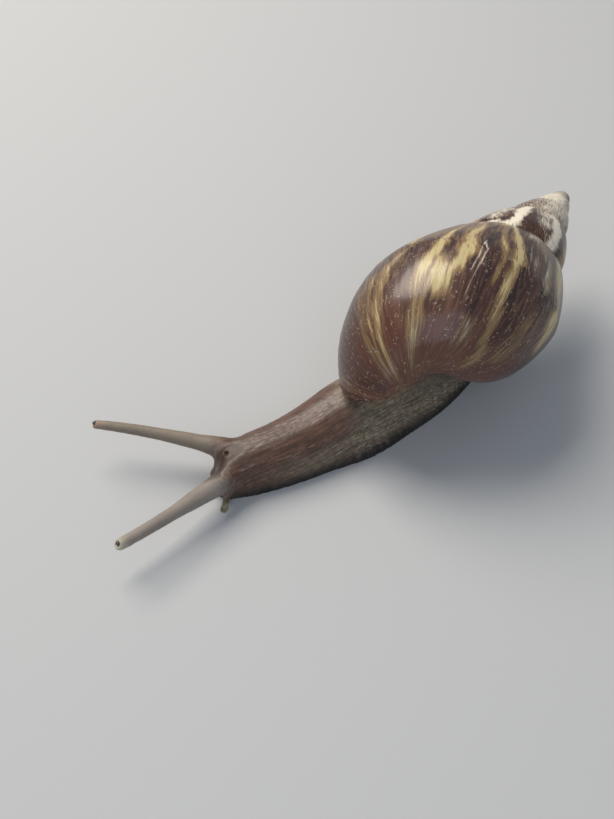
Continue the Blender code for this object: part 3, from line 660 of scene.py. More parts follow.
def build_shell(look):
    """The shell in its place, with its growth map and the strength of its marks."""
    points, faces, corners = build_shell_mesh(look.ridge_height / MM)
    axes = np.array(shell_axes())
    points = np.array(APEX) + points @ axes.T
    # the foot of the lip is rounded off
    foot, middle = (np.array(APEX) + whorl_points(*place) @ axes.T
                    for place in ((lean(2.0), 2.0), (lean(1.5) - 0.25, 1.5)))
    inwards = (middle - foot) / np.linalg.norm(middle - foot)
    near_foot = 1.0 - step_between(0.0, FOOT_REACH, np.linalg.norm(points - foot, axis=1))
    points += inwards * (FOOT_ROUNDING * near_foot)[:, None]
    mesh = bpy.data.meshes.new("shell_whorls")
    mesh.from_pydata((points * MM).tolist(), [], faces.tolist())
    growth, v = corners[..., 0].ravel(), corners[..., 1].ravel()
    uv = mesh.uv_layers.new(name="growth")
    uv.uv.foreach_set("vector", np.column_stack((growth / math.tau, v / 2)).ravel())
    flames = marks_of(growth, v, FLAME_AND_HIGHLIGHT_KNOTS, *FLAME_LAY)
    # the worn channel also holds the painted reflection along the suture
    worn = np.maximum(TIP_WORN * step_between(*TIP_WORN_OVER, growth),
                      CREAM_STRENGTH * marks_of(growth, v, CREAM_AND_REFLECTION_PATCHES, *CREAM_LAY))
    dark = np.maximum(step_between(*DARK_RIM, growth),
                      marks_of(growth, v, DARK_PATCHES, *DARK_LAY))
    inside = np.where(growth > math.tau * 0.99, 1.0, 0.0)
    outside = 1.0 - inside
    marks = np.column_stack((flames * outside, worn * outside, dark * outside, inside))
    layer = mesh.color_attributes.new(name="marks", type="FLOAT_COLOR", domain="CORNER")
    layer.data.foreach_set("color", marks.ravel())
    shell = bpy.data.objects.new("shell_whorls", mesh)
    bpy.context.collection.objects.link(shell)
    choose(shell)
    bpy.ops.object.mode_set(mode="EDIT")
    bpy.ops.mesh.select_all(action="SELECT")
    bpy.ops.mesh.remove_doubles(threshold=0.000004)
    bpy.ops.mesh.dissolve_degenerate(threshold=0.000001)
    bpy.ops.mesh.normals_make_consistent(inside=False)
    bpy.ops.object.mode_set(mode="OBJECT")
    far = np.linalg.norm(places(mesh) - (foot + inwards * FOOT_ROUNDING), axis=1)
    settle(mesh, 60, 1.0 - step_between(*FOOT_SETTLED, far), keep_volume=False)
    mesh.shade_smooth()
    return shell


def shell_nicks(tree, spot, swayed, cloud, section_place):
    """Pits about 1 mm apart and short scratches, more of them towards the base."""
    nicks = []
    crowded = add_node(tree, "ShaderNodeMapRange", interpolation_type="SMOOTHSTEP",
                       inputs={"From Min": 0.44, "From Max": 0.6, "To Max": 0.34},
                       links={"Value": section_place.outputs["Y"]})
    bend = add_node(tree, "ShaderNodeTexNoise", inputs={"Scale": 1900.0, "Detail": 2.0},
                    links={"Vector": spot.outputs["Object"]})
    bent = add_node(tree, "ShaderNodeVectorMath", operation="MULTIPLY_ADD",
                    inputs={1: (0.0016, 0.0016, 0.0016)},
                    links={0: bend.outputs["Color"], 2: spot.outputs["Object"]})
    dots = add_node(tree, "ShaderNodeTexVoronoi", inputs={"Scale": 1150.0},
                    links={"Vector": bent.outputs["Vector"]})
    stretch = add_node(tree, "ShaderNodeMapping", inputs={"Scale": (250.0, 40.0, 1.0)},
                       links={"Vector": swayed.outputs["Vector"]})
    dashes = add_node(tree, "ShaderNodeTexVoronoi", inputs={"Scale": 1.0},
                      links={"Vector": stretch.outputs["Vector"]})
    for cells, reach, share in ((dots, 0.28, 0.98), (dashes, 0.24, 1.08)):
        near = add_node(tree, "ShaderNodeMapRange", interpolation_type="SMOOTHSTEP",
                        inputs={"From Min": reach, "From Max": reach * 0.4},
                        links={"Value": cells.outputs["Distance"]})
        number = add_node(tree, "ShaderNodeSeparateColor",
                          links={"Color": cells.outputs["Color"]})
        likely = add_node(tree, "ShaderNodeMath", operation="MULTIPLY_ADD",
                          inputs={1: 1.1}, links={0: cloud.outputs["Fac"],
                                                  2: number.outputs["Red"]})
        likely = add_node(tree, "ShaderNodeMath", operation="ADD",
                          links={0: likely.outputs[0], 1: crowded.outputs["Result"]})
        chosen = add_node(tree, "ShaderNodeMapRange",
                          inputs={"From Min": share + 0.25, "From Max": share + 0.5},
                          links={"Value": likely.outputs[0]})
        nicks.append(add_node(tree, "ShaderNodeMath", operation="MULTIPLY",
                              links={0: near.outputs["Result"],
                                     1: chosen.outputs["Result"]}))
    return add_node(tree, "ShaderNodeMath", operation="MAXIMUM",
                    links={0: nicks[0].outputs[0], 1: nicks[1].outputs[0]})


def shell_finish(look):
    """Aragonite under a thin brown periostracum, polished by wear: a glossy, slightly
    uneven surface whose flames follow the growth lines, worn chalky towards the apex."""
    made, tree, shader = new_finish("polished_periostracum")
    spot = add_node(tree, "ShaderNodeTexCoord")
    growth = add_node(tree, "ShaderNodeUVMap", uv_map="growth")
    marks = add_node(tree, "ShaderNodeAttribute", attribute_name="marks")
    parts = add_node(tree, "ShaderNodeSeparateColor", links={"Color": marks.outputs["Color"]})
    # one whorl is about 130 mm round and its section about 75 mm long: streaks 0.3, 0.7 and
    # 4 mm wide along the growth lines
    sway = add_node(tree, "ShaderNodeTexNoise", inputs={"Scale": 260.0, "Detail": 3.0},
                    links={"Vector": spot.outputs["Object"]})
    swayed = add_node(tree, "ShaderNodeVectorMath", operation="MULTIPLY_ADD",
                      inputs={1: (0.009, 0.0, 0.0)},
                      links={0: sway.outputs["Color"], 2: growth.outputs["UV"]})
    streaks = []
    for scale, detail in (((430.0, 14.0, 1.0), 2.0), ((170.0, 10.0, 1.0), 4.0),
                          ((30.0, 2.4, 1.0), 4.0)):
        stretch = add_node(tree, "ShaderNodeMapping", inputs={"Scale": scale},
                           links={"Vector": swayed.outputs["Vector"]})
        streaks.append(add_node(tree, "ShaderNodeTexNoise",
                                inputs={"Scale": 1.0, "Detail": detail, "Roughness": 0.6},
                                links={"Vector": stretch.outputs["Vector"]}))
    fine, medium, broad = streaks
    cloud = add_node(tree, "ShaderNodeTexNoise", inputs={"Scale": 130.0, "Detail": 4.0},
                     links={"Vector": spot.outputs["Object"]})

    ground = add_node(tree, "ShaderNodeMapRange", interpolation_type="SMOOTHSTEP",
                      inputs={"From Min": 0.36, "From Max": 0.62},
                      links={"Value": broad.outputs["Fac"]})
    # the darkest brown carries a purple tint, a painted reflection of the sky
    colour = add_node(tree, "ShaderNodeMix", data_type="RGBA",
                      inputs={6: (*look.dark, 1), 7: (*look.chestnut, 1)},
                      links={0: ground.outputs["Result"]})
    section_place = add_node(tree, "ShaderNodeSeparateXYZ",
                             links={"Vector": growth.outputs["UV"]})
    # the flames' edges are frayed by the streaks
    fray = add_node(tree, "ShaderNodeMath", operation="MULTIPLY_ADD",
                    inputs={1: 1.5, 2: -1.05}, links={0: medium.outputs["Fac"]})
    fray = add_node(tree, "ShaderNodeMath", operation="MULTIPLY_ADD", inputs={1: 0.6},
                    links={0: fine.outputs["Fac"], 2: fray.outputs[0]})
    flame = add_node(tree, "ShaderNodeMath", operation="ADD",
                     links={0: parts.outputs["Red"], 1: fray.outputs[0]})
    # over the ground: a redder base, paler threads, the flames with a dull olive edge, then
    # ochre and yellow, and the dark patches
    # the flame channel also holds broad washes that are partly painted highlight
    for source, kind, low, high, most, tint in (
            (section_place.outputs["Y"], "SMOOTHSTEP", 0.68, 0.90, 0.60, look.red_brown),
            (medium.outputs["Fac"], "LINEAR", 0.46, 0.62, 0.70, look.thread),
            (flame.outputs[0], "SMOOTHSTEP", 0.14, 0.28, 1.0, look.olive),
            (flame.outputs[0], "SMOOTHSTEP", 0.32, 0.48, 1.0, look.ochre),
            (flame.outputs[0], "SMOOTHSTEP", 0.55, 0.90, 1.0, look.yellow),
            (parts.outputs["Blue"], "LINEAR", 0.0, 1.0, 0.55, look.dark)):
        share = add_node(tree, "ShaderNodeMapRange", interpolation_type=kind,
                         inputs={"From Min": low, "From Max": high, "To Max": most},
                         links={"Value": source})
        colour = add_node(tree, "ShaderNodeMix", data_type="RGBA", inputs={7: (*tint, 1)},
                          links={0: share.outputs["Result"], 6: colour.outputs[2]})
    # wear: chalky cream with a little of the brown left in it; along the suture the same pale
    # is painted reflection
    patchy = add_node(tree, "ShaderNodeMath", operation="MULTIPLY_ADD",
                      inputs={1: 1.0, 2: -0.9}, links={0: cloud.outputs["Fac"]})
    patchy = add_node(tree, "ShaderNodeMath", operation="MULTIPLY_ADD", inputs={1: 0.8},
                      links={0: medium.outputs["Fac"], 2: patchy.outputs[0]})
    worn = add_node(tree, "ShaderNodeMath", operation="ADD",
                    links={0: parts.outputs["Green"], 1: patchy.outputs[0]})
    worn_edge = add_node(tree, "ShaderNodeMapRange", interpolation_type="SMOOTHSTEP",
                         inputs={"From Min": 0.2, "From Max": 0.75},
                         links={"Value": worn.outputs[0]})
    chalk = add_node(tree, "ShaderNodeMix", data_type="RGBA",
                     inputs={6: (*look.chalk, 1), 7: (*look.cream, 1)},
                     links={0: worn_edge.outputs["Result"]})
    colour = add_node(tree, "ShaderNodeMix", data_type="RGBA",
                      links={0: worn_edge.outputs["Result"], 6: colour.outputs[2],
                             7: chalk.outputs[2]})
    # pits and scratches show the pale shell under the brown
    nick = shell_nicks(tree, spot, swayed, cloud, section_place)
    nick_part = add_node(tree, "ShaderNodeMath", operation="MULTIPLY", inputs={1: 0.8},
                         links={0: nick.outputs[0]})
    colour = add_node(tree, "ShaderNodeMix", data_type="RGBA", inputs={7: (*look.chalk, 1)},
                      links={0: nick_part.outputs[0], 6: colour.outputs[2]})
    colour = add_node(tree, "ShaderNodeMix", data_type="RGBA", inputs={7: (*look.inside, 1)},
                      links={0: marks.outputs["Alpha"], 6: colour.outputs[2]})
    tree.links.new(colour.outputs[2], shader.inputs["Base Color"])

    roughness = add_node(tree, "ShaderNodeMapRange",
                         inputs={"To Min": look.roughness, "To Max": 0.62},
                         links={"Value": worn_edge.outputs["Result"]})
    uneven = add_node(tree, "ShaderNodeMath", operation="MULTIPLY_ADD", inputs={1: 0.25},
                      links={0: medium.outputs["Fac"], 2: roughness.outputs["Result"]})
    tree.links.new(uneven.outputs[0], shader.inputs["Roughness"])
    # growth lines too fine for the mesh, and the depth of each nick
    depth = add_node(tree, "ShaderNodeMath", operation="MULTIPLY_ADD", inputs={1: -0.8},
                     links={0: nick.outputs[0], 2: fine.outputs["Fac"]})
    bump = add_node(tree, "ShaderNodeBump", inputs={"Strength": 0.5, "Distance": 0.00012},
                    links={"Height": depth.outputs[0]})
    tree.links.new(bump.outputs["Normal"], shader.inputs["Normal"])
    shader.inputs["IOR"].default_value = 1.42
    shader.inputs["Specular IOR Level"].default_value = 0.25
    shader.inputs["Coat Weight"].default_value = look.coat
    shader.inputs["Coat Roughness"].default_value = 0.21
    return made


# ---- skin --------------------------------------------------------------------------------
def bezier_route(route, count=40):
    """Points along a feeler's centre line, from base to tip, in millimetres."""
    base, bend, tip = (np.array(p) for p in route)
    handle = 2.0 * bend - 0.5 * (base + tip)
    t = np.linspace(0.0, 1.0, count)[:, None]
    return (1 - t) ** 2 * base + 2 * (1 - t) * t * handle + t * t * tip


def near_route(points, route):
    """Distance of each point to a line, and how far along it the nearest place is."""
    line = bezier_route(route)
    best = np.full(len(points), 1e9)
    share = np.zeros(len(points))
    for index, spot in enumerate(line):
        distance = np.linalg.norm(points - spot, axis=1)
        nearer = distance < best
        best = np.where(nearer, distance, best)
        share = np.where(nearer, index / (len(line) - 1), share)
    return best, share


def build_skin(look):
    """One closed skin over all the soft nodes, which keeps their shape."""
    parts = []
    for name in FLESH:
        part = bpy.data.objects.new("skin_part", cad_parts[name].data.copy())
        bpy.context.collection.objects.link(part)
        parts.append(part)
        choose(part)
        bpy.ops.object.mode_set(mode="EDIT")
        bpy.ops.mesh.select_all(action="SELECT")
        bpy.ops.mesh.remove_doubles(threshold=0.000002)
        bpy.ops.mesh.normals_make_consistent(inside=False)
        bpy.ops.object.mode_set(mode="OBJECT")
        apply_modifier(part, "DISPLACE", strength=look.overlap, mid_level=0.0,
                       direction="NORMAL")
    choose(*parts)
    bpy.ops.object.join()
    skin = bpy.context.object
    apply_modifier(skin, "REMESH", mode="VOXEL", voxel_size=look.fineness, adaptivity=0.0)
    choose(skin)
    bpy.ops.object.mode_set(mode="EDIT")
    bpy.ops.mesh.select_all(action="SELECT")
    bpy.ops.mesh.separate(type="LOOSE")
    bpy.ops.object.mode_set(mode="OBJECT")
    islands = sorted(bpy.context.selected_objects, key=lambda o: len(o.data.vertices))
    for island in islands[:-1]:
        bpy.data.objects.remove(island)
    skin = islands[-1]
    skin.name = skin.data.name = "skin"
    skin.data.materials.clear()
    return skin


def body_coordinates(points):
    """Along the body, round it from the middle of the back (left side positive), and the
    height as a share of the body's, for each point, in millimetres."""
    along = points[:, 1]
    middle = np.interp(along, MIDLINE[:, 0], MIDLINE[:, 1])
    half = np.interp(along, MIDLINE[:, 0], MIDLINE[:, 2])
    height = np.interp(along, MIDLINE[:, 0], MIDLINE[:, 3])
    angle = np.arctan2(points[:, 0] - middle, np.maximum(points[:, 2] - 0.15 * height, 0.0))
    return along, angle * (half + height) / 2, points[:, 2] / height


def rows_of(along, around, length, width, seed):
    """Rows of small tubercles that run along the body, and their heights from 0 to 1."""
    inside, number = pebbles(along / length, around / width, seed)
    return step_between(0.05, 0.55, inside) * (0.45 + 0.55 * number)


def feeler_share(feelers, near, along):
    """How surely each point is on this part of an upper feeler, from 0 to 1."""
    return np.maximum.reduce([step_between(*near, distance) * step_between(*along, share)
                              for distance, share in feelers.values()])


def smooth_joins(mesh, feelers):
    """Rounds off where the soft parts meet: a little all over, more at the feelers' roots and
    round the mouth, and less by the sole."""
    points = places(mesh)
    low_part = 1.0 - step_between(0.5, 1.5, points[:, 2])
    near_mouth = 1.0 - step_between(2.6, 4.4, np.linalg.norm(points - MOUTH, axis=1))
    settle(mesh, 14, 1.0 - 0.75 * low_part)
    settle(mesh, 50, feeler_share(feelers, *AT_ROOT) * (1.0 - low_part), keep_volume=False)
    settle(mesh, 60, near_mouth)
    settle(mesh, 14, near_mouth, keep_volume=False)
    settle(mesh, 4)


def find_regions(points, on_feeler):
    """Each point's place on the body, and how surely it is in each region, from 0 to 1."""
    along, around, up = body_coordinates(points)
    aside = np.abs(around)
    neck = step_between(*REAR_TO_NECK, along)
    # the smooth face lies between two rough lines that part towards the feelers
    face = (1.0 - step_between(-0.6, 0.1, aside - np.interp(along, *FACE_EDGE))) \
        * step_between(*TO_FACE, along)
    side_line = np.interp(along, *SIDE_LINE)
    strayed = aside + 0.5 * grain(points, 1.6, 64)
    return {
        "along": along, "around": around, "up": up,
        "off_feeler": 1.0 - on_feeler,
        "exposed": step_between(0.02, 0.12, up),
        "neck": neck, "rear": 1.0 - neck, "face": face,
        "on_back": (1.0 - step_between(1.0, 3.0, strayed)) * (1.0 - face),
        "on_line": bell(aside, side_line, 0.45) * neck * step_between(-43.0, -40.0, along),
        "below": step_between(-0.6, 2.6, strayed - side_line),
        "inside_shell": step_between(9.5, 11.5, points[:, 2])
        * step_between(-22.0, -12.0, along),
    }


def tubercles_on(points, at):
    """Heights of the tubercles, from 0 to 1: dashes along the back and the side lines, folds
    between them, and a net on the foot's sides that slants under the shell."""
    along = at["along"] + 0.5 * grain(points, 3.0, 61)
    around = at["around"] + 0.18 * grain(points, 2.5, 62)
    slant = around - 0.35 * (at["along"] + 20.0) * np.sign(at["around"]) * at["rear"]
    dashes = rows_of(along, around, *DASH_SIZE, 63)
    folds = rows_of(along, around, *FOLD_SIZE, 66)
    net = rows_of(along, slant, *NET_SIZE, 69)
    net_part = np.clip(at["below"] * (1.0 - 0.5 * at["neck"])
                       + at["rear"] * (1 - at["on_back"] * 0.3), 0.0, 1.0)
    net_part *= 0.35 + 0.65 * (1.0 - step_between(0.35, 0.75, at["up"]))
    highest = np.maximum.reduce((
        dashes * at["on_back"] * 0.55, dashes * at["on_line"] * 0.8,
        folds * 0.28 * (1.0 - net_part) * (1.0 - at["face"]), net * net_part * 0.9))
    return highest * at["off_feeler"] * at["exposed"] * (1.0 - 0.9 * at["face"])


def rise_on(points, feelers, at, tubercle_height):
    """How far the skin rises over its smooth shape, in millimetres."""
    exposed, off_feeler = at["exposed"], at["off_feeler"]
    rise = tubercle_height * at["tubercles"]
    # fine wrinkles along the foot's margin
    margin = 1.0 - step_between(0.12, 0.30, at["up"])
    wrinkles = wander(at["along"] / 0.55 + 0.6 * wander(points[:, 2] * 1.3, 67), 68)
    rise += WRINKLE_HEIGHT * wrinkles * margin * exposed * off_feeler
    # the face is hollow between the feelers, with a small pit at its top
    rise -= FACE_HOLLOW * at["face"] * step_between(0.5, 0.8, at["up"])
    pit = np.linalg.norm(points - CROWN_PIT, axis=1)
    rise -= PIT_DEPTH * (1.0 - step_between(0.15, 0.65, pit))
    # the feelers' thick roots, and rings along them
    for side, (distance, share) in feelers.items():
        root = bell(share, 0.20, 0.13) * (1 - step_between(1.8, 3.4, distance))
        rise += FEELER_ROOT[side] * root
        rings = wander(share * 62.0 + 0.4 * grain(points, 1.2, 72), 70)
        rise += RING_HEIGHT * rings * (1 - step_between(2.2, 3.2, distance)) \
            * step_between(0.12, 0.3, share) * (1 - step_between(0.93, 0.99, share))
    rise += SWELLING_HEIGHT * grain(points, 3.5, 71) * exposed * off_feeler
    return rise * (1.0 - at["inside_shell"])


def mark_zones(mesh, points, feelers, at):
    """Stores what the skin's finish needs to know of each point."""
    exposed, off_feeler, below = at["exposed"], at["off_feeler"], at["below"]
    lower = np.minimum.reduce([np.linalg.norm(points - spot, axis=1) for spot in LOWER_TIPS])
    lower = 1.0 - step_between(1.2, 2.6, lower)
    to_front = step_between(*TO_FRONT, at["along"])
    flank = (1.0 - at["on_back"]) * (1.0 - 0.8 * below * (1.0 - 0.8 * to_front)) \
        * at["neck"] * off_feeler
    olive = np.clip(at["rear"] * 0.9 + 0.8 * below, 0.0, 1.0) * exposed * off_feeler
    # painted shade: the low sides of the body darken towards the sole
    foot = (1.0 - step_between(0.05, 0.42, at["up"])) * off_feeler * (1.0 - lower)
    dashed = np.maximum(at["on_back"], 0.8 * at["on_line"]) * off_feeler
    left_side = step_between(2.0, 4.0, points[:, 0])
    layers = {
        # the zones' alpha is the face's painted shade
        "zones": (np.maximum(flank, at["face"]), olive, foot, FACE_PAINTED_SHADE * at["face"]),
        "feelers": (1.0 - off_feeler, feeler_share(feelers, *AT_TIP), left_side,
                    at["inside_shell"]),
        "relief": (at["tubercles"], lower, dashed, np.ones(len(points))),
    }
    for name, channels in layers.items():
        layer = mesh.color_attributes.new(name=name, type="FLOAT_COLOR", domain="POINT")
        layer.data.foreach_set("color", np.column_stack(channels).ravel())
    run = mesh.attributes.new("run", "FLOAT_VECTOR", "POINT")
    run.data.foreach_set("vector", np.column_stack(
        (at["along"], at["around"], np.zeros(len(points)))).ravel() * MM)


def sculpt_skin(skin, look):
    """Raises the skin's tubercles, folds and rings, and marks its zones for the finish."""
    mesh = skin.data
    points = places(mesh)
    feelers = {side: near_route(points, route) for side, route in UPPER_FEELERS.items()}
    on_feeler = feeler_share(feelers, *ON_FEELER)
    smooth_joins(mesh, feelers)
    normals = directions(mesh)
    shrink = (look.overlap / MM) * (1.0 - 0.4 * on_feeler)
    points = places(mesh) - normals * shrink[:, None]
    points[:, 2] = np.maximum(points[:, 2], 0.0)
    at = find_regions(points, on_feeler)
    at["tubercles"] = tubercles_on(points, at)
    points = points + normals * rise_on(points, feelers, at, look.tubercle_height / MM)[:, None]
    points[points[:, 2] < SOLE_FLAT, 2] = 0.0
    move_to(mesh, points)
    mesh.shade_smooth()
    mark_zones(mesh, points, feelers, at)


def skin_rows(tree, speckle):
    """Patterns that run along the body: rows of dashes, lines and a net."""
    # rows that run along the body: dashes 2.3 x 0.4 mm, and lines 0.45 mm apart
    run = add_node(tree, "ShaderNodeAttribute", attribute_name="run")
    rows = add_node(tree, "ShaderNodeMapping", inputs={"Scale": (430.0, 2500.0, 1.0)},
                    links={"Vector": run.outputs["Vector"]})
    dashes = add_node(tree, "ShaderNodeTexVoronoi", inputs={"Scale": 1.0},
                      links={"Vector": rows.outputs["Vector"]})
    rows = add_node(tree, "ShaderNodeMapping", inputs={"Scale": (190.0, 2200.0, 1.0)},
                    links={"Vector": run.outputs["Vector"]})
    lines = add_node(tree, "ShaderNodeTexNoise", inputs={"Scale": 1.0, "Detail": 3.0},
                     links={"Vector": rows.outputs["Vector"]})
    # a fine net, 1.6 x 0.6 mm, on the olive parts
    sway = add_node(tree, "ShaderNodeVectorMath", operation="MULTIPLY_ADD",
                    inputs={1: (0.0007, 0.0005, 0.0)},
                    links={0: speckle.outputs["Color"], 2: run.outputs["Vector"]})
    rows = add_node(tree, "ShaderNodeMapping", inputs={"Scale": (620.0, 1650.0, 1.0)},
                    links={"Vector": sway.outputs["Vector"]})
    net = add_node(tree, "ShaderNodeTexVoronoi", feature="DISTANCE_TO_EDGE",
                   inputs={"Scale": 1.0}, links={"Vector": rows.outputs["Vector"]})
    return dashes, lines, net


def feeler_tint(tree, feeler, look):
    """The colour of the upper feelers, left and right, stalk and tip."""
    stalk, stalk_tip = (
        add_node(tree, "ShaderNodeMix", data_type="RGBA",
                 inputs={6: (*right, 1), 7: (*left, 1)}, links={0: feeler.outputs["Blue"]})
        for right, left in ((look.far_feeler, look.near_feeler),
                            (look.far_tip, look.near_tip)))
    return add_node(tree, "ShaderNodeMix", data_type="RGBA",
                    links={0: feeler.outputs["Green"], 6: stalk.outputs[2],
                           7: stalk_tip.outputs[2]})


def skin_finish(look):
    """Wet, living snail skin: translucent brown tissue under a thin film of mucus, with
    paler tubercles that stand out of darker grooves."""
    made, tree, shader = new_finish("wet_snail_skin")
    spot = add_node(tree, "ShaderNodeTexCoord")
    layers = {}
    for name in ("zones", "feelers", "relief"):
        layer = add_node(tree, "ShaderNodeAttribute", attribute_name=name)
        layers[name] = add_node(tree, "ShaderNodeSeparateColor",
                                links={"Color": layer.outputs["Color"]})
        layers[name + " alpha"] = layer.outputs["Alpha"]
    zone, feeler, relief = layers["zones"], layers["feelers"], layers["relief"]
    mottle = add_node(tree, "ShaderNodeTexNoise", inputs={"Scale": 420.0, "Detail": 4.0,
                      "Roughness": 0.6}, links={"Vector": spot.outputs["Object"]})
    speckle = add_node(tree, "ShaderNodeTexNoise", inputs={"Scale": 2600.0, "Detail": 2.0},
                       links={"Vector": spot.outputs["Object"]})
    dashes, lines, net = skin_rows(tree, speckle)
    groove = add_node(tree, "ShaderNodeMapRange", interpolation_type="SMOOTHSTEP",
                      inputs={"From Min": 0.02, "From Max": 0.26, "To Min": 0.66,
                              "To Max": 1.1}, links={"Value": net.outputs["Distance"]})
    netted = add_node(tree, "ShaderNodeMix", inputs={2: 1.0},
                      links={0: zone.outputs["Green"], 3: groove.outputs["Result"]})

    body = add_node(tree, "ShaderNodeMix", data_type="RGBA",
                    inputs={6: (*look.back, 1), 7: (*look.olive, 1)},
                    links={0: zone.outputs["Green"]})
    # the foot tint is painted shade on the body's low sides
    for part, tint in ((zone.outputs["Red"], look.flank), (zone.outputs["Blue"], look.foot),
                       (layers["feelers alpha"], look.collar),
                       (relief.outputs["Green"], look.lower_feeler)):
        body = add_node(tree, "ShaderNodeMix", data_type="RGBA", inputs={7: (*tint, 1)},
                        links={0: part, 6: body.outputs[2]})
    stalk = feeler_tint(tree, feeler, look)
    colour = add_node(tree, "ShaderNodeMix", data_type="RGBA",
                      links={0: feeler.outputs["Red"], 6: body.outputs[2],
                             7: stalk.outputs[2]})
    # grooves are darker and tubercles' tops paler; the rest is mottled, grained and lined
    shade = netted.outputs[0]
    for source, low, high, least, most in (
            (relief.outputs["Red"], 0.0, 0.8, 0.82, 1.42),
            (mottle.outputs["Fac"], 0.3, 0.7, 0.84, 1.16),
            (speckle.outputs["Fac"], 0.3, 0.7, 0.86, 1.14),
            (lines.outputs["Fac"], 0.32, 0.68, 0.62, 1.40)):
        tone = add_node(tree, "ShaderNodeMapRange",
                        inputs={"From Min": low, "From Max": high, "To Min": least,
                                "To Max": most}, links={"Value": source})
        shade = add_node(tree, "ShaderNodeMath", operation="MULTIPLY",
                         links={0: tone.outputs["Result"], 1: shade}).outputs[0]
    # the feelers are calmer
    calm = add_node(tree, "ShaderNodeMapRange", inputs={"To Min": 1.0, "To Max": 0.25},
                    links={"Value": feeler.outputs["Red"]})
    shade = add_node(tree, "ShaderNodeMath", operation="SUBTRACT", inputs={1: 1.0},
                     links={0: shade})
    shade = add_node(tree, "ShaderNodeMath", operation="MULTIPLY_ADD", inputs={2: 1.0},
                     links={0: shade.outputs[0], 1: calm.outputs["Result"]})
    shade = add_node(tree, "ShaderNodeVectorMath", operation="SCALE",
                     links={0: colour.outputs[2], "Scale": shade.outputs[0]})
    dash = add_node(tree, "ShaderNodeMapRange", interpolation_type="SMOOTHSTEP",
                    inputs={"From Min": 0.42, "From Max": 0.12, "To Max": 0.6},
                    links={"Value": dashes.outputs["Distance"]})
    dash = add_node(tree, "ShaderNodeMath", operation="MULTIPLY",
                    links={0: dash.outputs["Result"], 1: relief.outputs["Blue"]})
    toned = add_node(tree, "ShaderNodeMix", data_type="RGBA",
                     inputs={7: (*look.dash, 1)},
                     links={0: dash.outputs[0], 6: shade.outputs["Vector"]})
    # painted shade darkens the face, and the pit on the crown is painted dark
    to_pit = add_node(tree, "ShaderNodeVectorMath", operation="DISTANCE",
                      inputs={1: tuple(place * MM for place in CROWN_PIT)},
                      links={0: spot.outputs["Object"]})
    pit = add_node(tree, "ShaderNodeMapRange", interpolation_type="SMOOTHSTEP",
                   inputs={"From Min": 0.0006, "From Max": 0.0004},
                   links={"Value": to_pit.outputs["Value"]})
    painted_shade_and_pit = add_node(tree, "ShaderNodeMath", operation="MAXIMUM",
                      links={0: layers["zones alpha"], 1: pit.outputs["Result"]})
    toned = add_node(tree, "ShaderNodeMix", data_type="RGBA",
                     inputs={7: (*look.shade, 1)},
                     links={0: painted_shade_and_pit.outputs[0], 6: toned.outputs[2]})
    tree.links.new(toned.outputs[2], shader.inputs["Base Color"])

    wet = add_node(tree, "ShaderNodeMapRange",
                   inputs={"From Min": 0.35, "From Max": 0.65, "To Min": look.roughness - 0.06,
                           "To Max": look.roughness + 0.1},
                   links={"Value": mottle.outputs["Fac"]})
    dull = add_node(tree, "ShaderNodeMath", operation="MULTIPLY_ADD", inputs={1: 0.22},
                    links={0: feeler.outputs["Red"], 2: wet.outputs["Result"]})
    dull = add_node(tree, "ShaderNodeMath", operation="MULTIPLY_ADD", inputs={1: 0.5},
                    links={0: pit.outputs["Result"], 2: dull.outputs[0]})
    tree.links.new(dull.outputs[0], shader.inputs["Roughness"])
    height = add_node(tree, "ShaderNodeMath", operation="ADD",
                      links={0: speckle.outputs["Fac"], 1: netted.outputs[0]})
    bump = add_node(tree, "ShaderNodeBump", inputs={"Strength": 0.5, "Distance": 0.0001},
                    links={"Height": height.outputs[0]})
    tree.links.new(bump.outputs["Normal"], shader.inputs["Normal"])
    shader.inputs["IOR"].default_value = 1.38
    shader.inputs["Subsurface Weight"].default_value = 0.25
    shader.inputs["Subsurface Scale"].default_value = 0.0008
    shader.inputs["Subsurface Radius"].default_value = (1.0, 0.55, 0.35)
    shader.inputs["Coat Weight"].default_value = look.coat
    shader.inputs["Coat Roughness"].default_value = 0.28
    shader.inputs["Coat IOR"].default_value = 1.33
    return made


# ---- eyes --------------------------------------------------------------------------------
def eye_finish(look):
    """A snail's lens eye: a smooth, almost black bead under clear wet skin."""
    made, tree, shader = new_finish("wet_black_bead")
    spot = add_node(tree, "ShaderNodeTexCoord")
    cloud = add_node(tree, "ShaderNodeTexNoise", inputs={"Scale": 3000.0, "Detail": 2.0},
                     links={"Vector": spot.outputs["Object"]})
    colour = add_node(tree, "ShaderNodeMix", data_type="RGBA",
                      inputs={6: (*look.colour, 1), 7: (*look.glint, 1)},
                      links={0: cloud.outputs["Fac"]})
    tree.links.new(colour.outputs[2], shader.inputs["Base Color"])
    shader.inputs["Roughness"].default_value = 0.12
    shader.inputs["Coat Weight"].default_value = 0.6
    shader.inputs["Coat Roughness"].default_value = 0.05
    return made


# ---- what a user may change --------------------------------------------------------------
def colour_property(name, description, code):
    """A colour that a user may change, from an sRGB hex code."""
    return bpy.props.FloatVectorProperty(name=name, description=description, size=3,
                                         subtype="COLOR", min=0.0, max=1.0,
                                         default=linear(code))


def length_property(name, description, millimetres):
    """A length that a user may change."""
    return bpy.props.FloatProperty(name=name, description=description, unit="LENGTH",
                                   subtype="DISTANCE", precision=5, default=millimetres * MM)


def share_property(name, description, default):
    """A number from 0 to 1 that a user may change."""
    return bpy.props.FloatProperty(name=name, description=description, subtype="FACTOR",
                                   min=0.0, max=1.0, default=default)


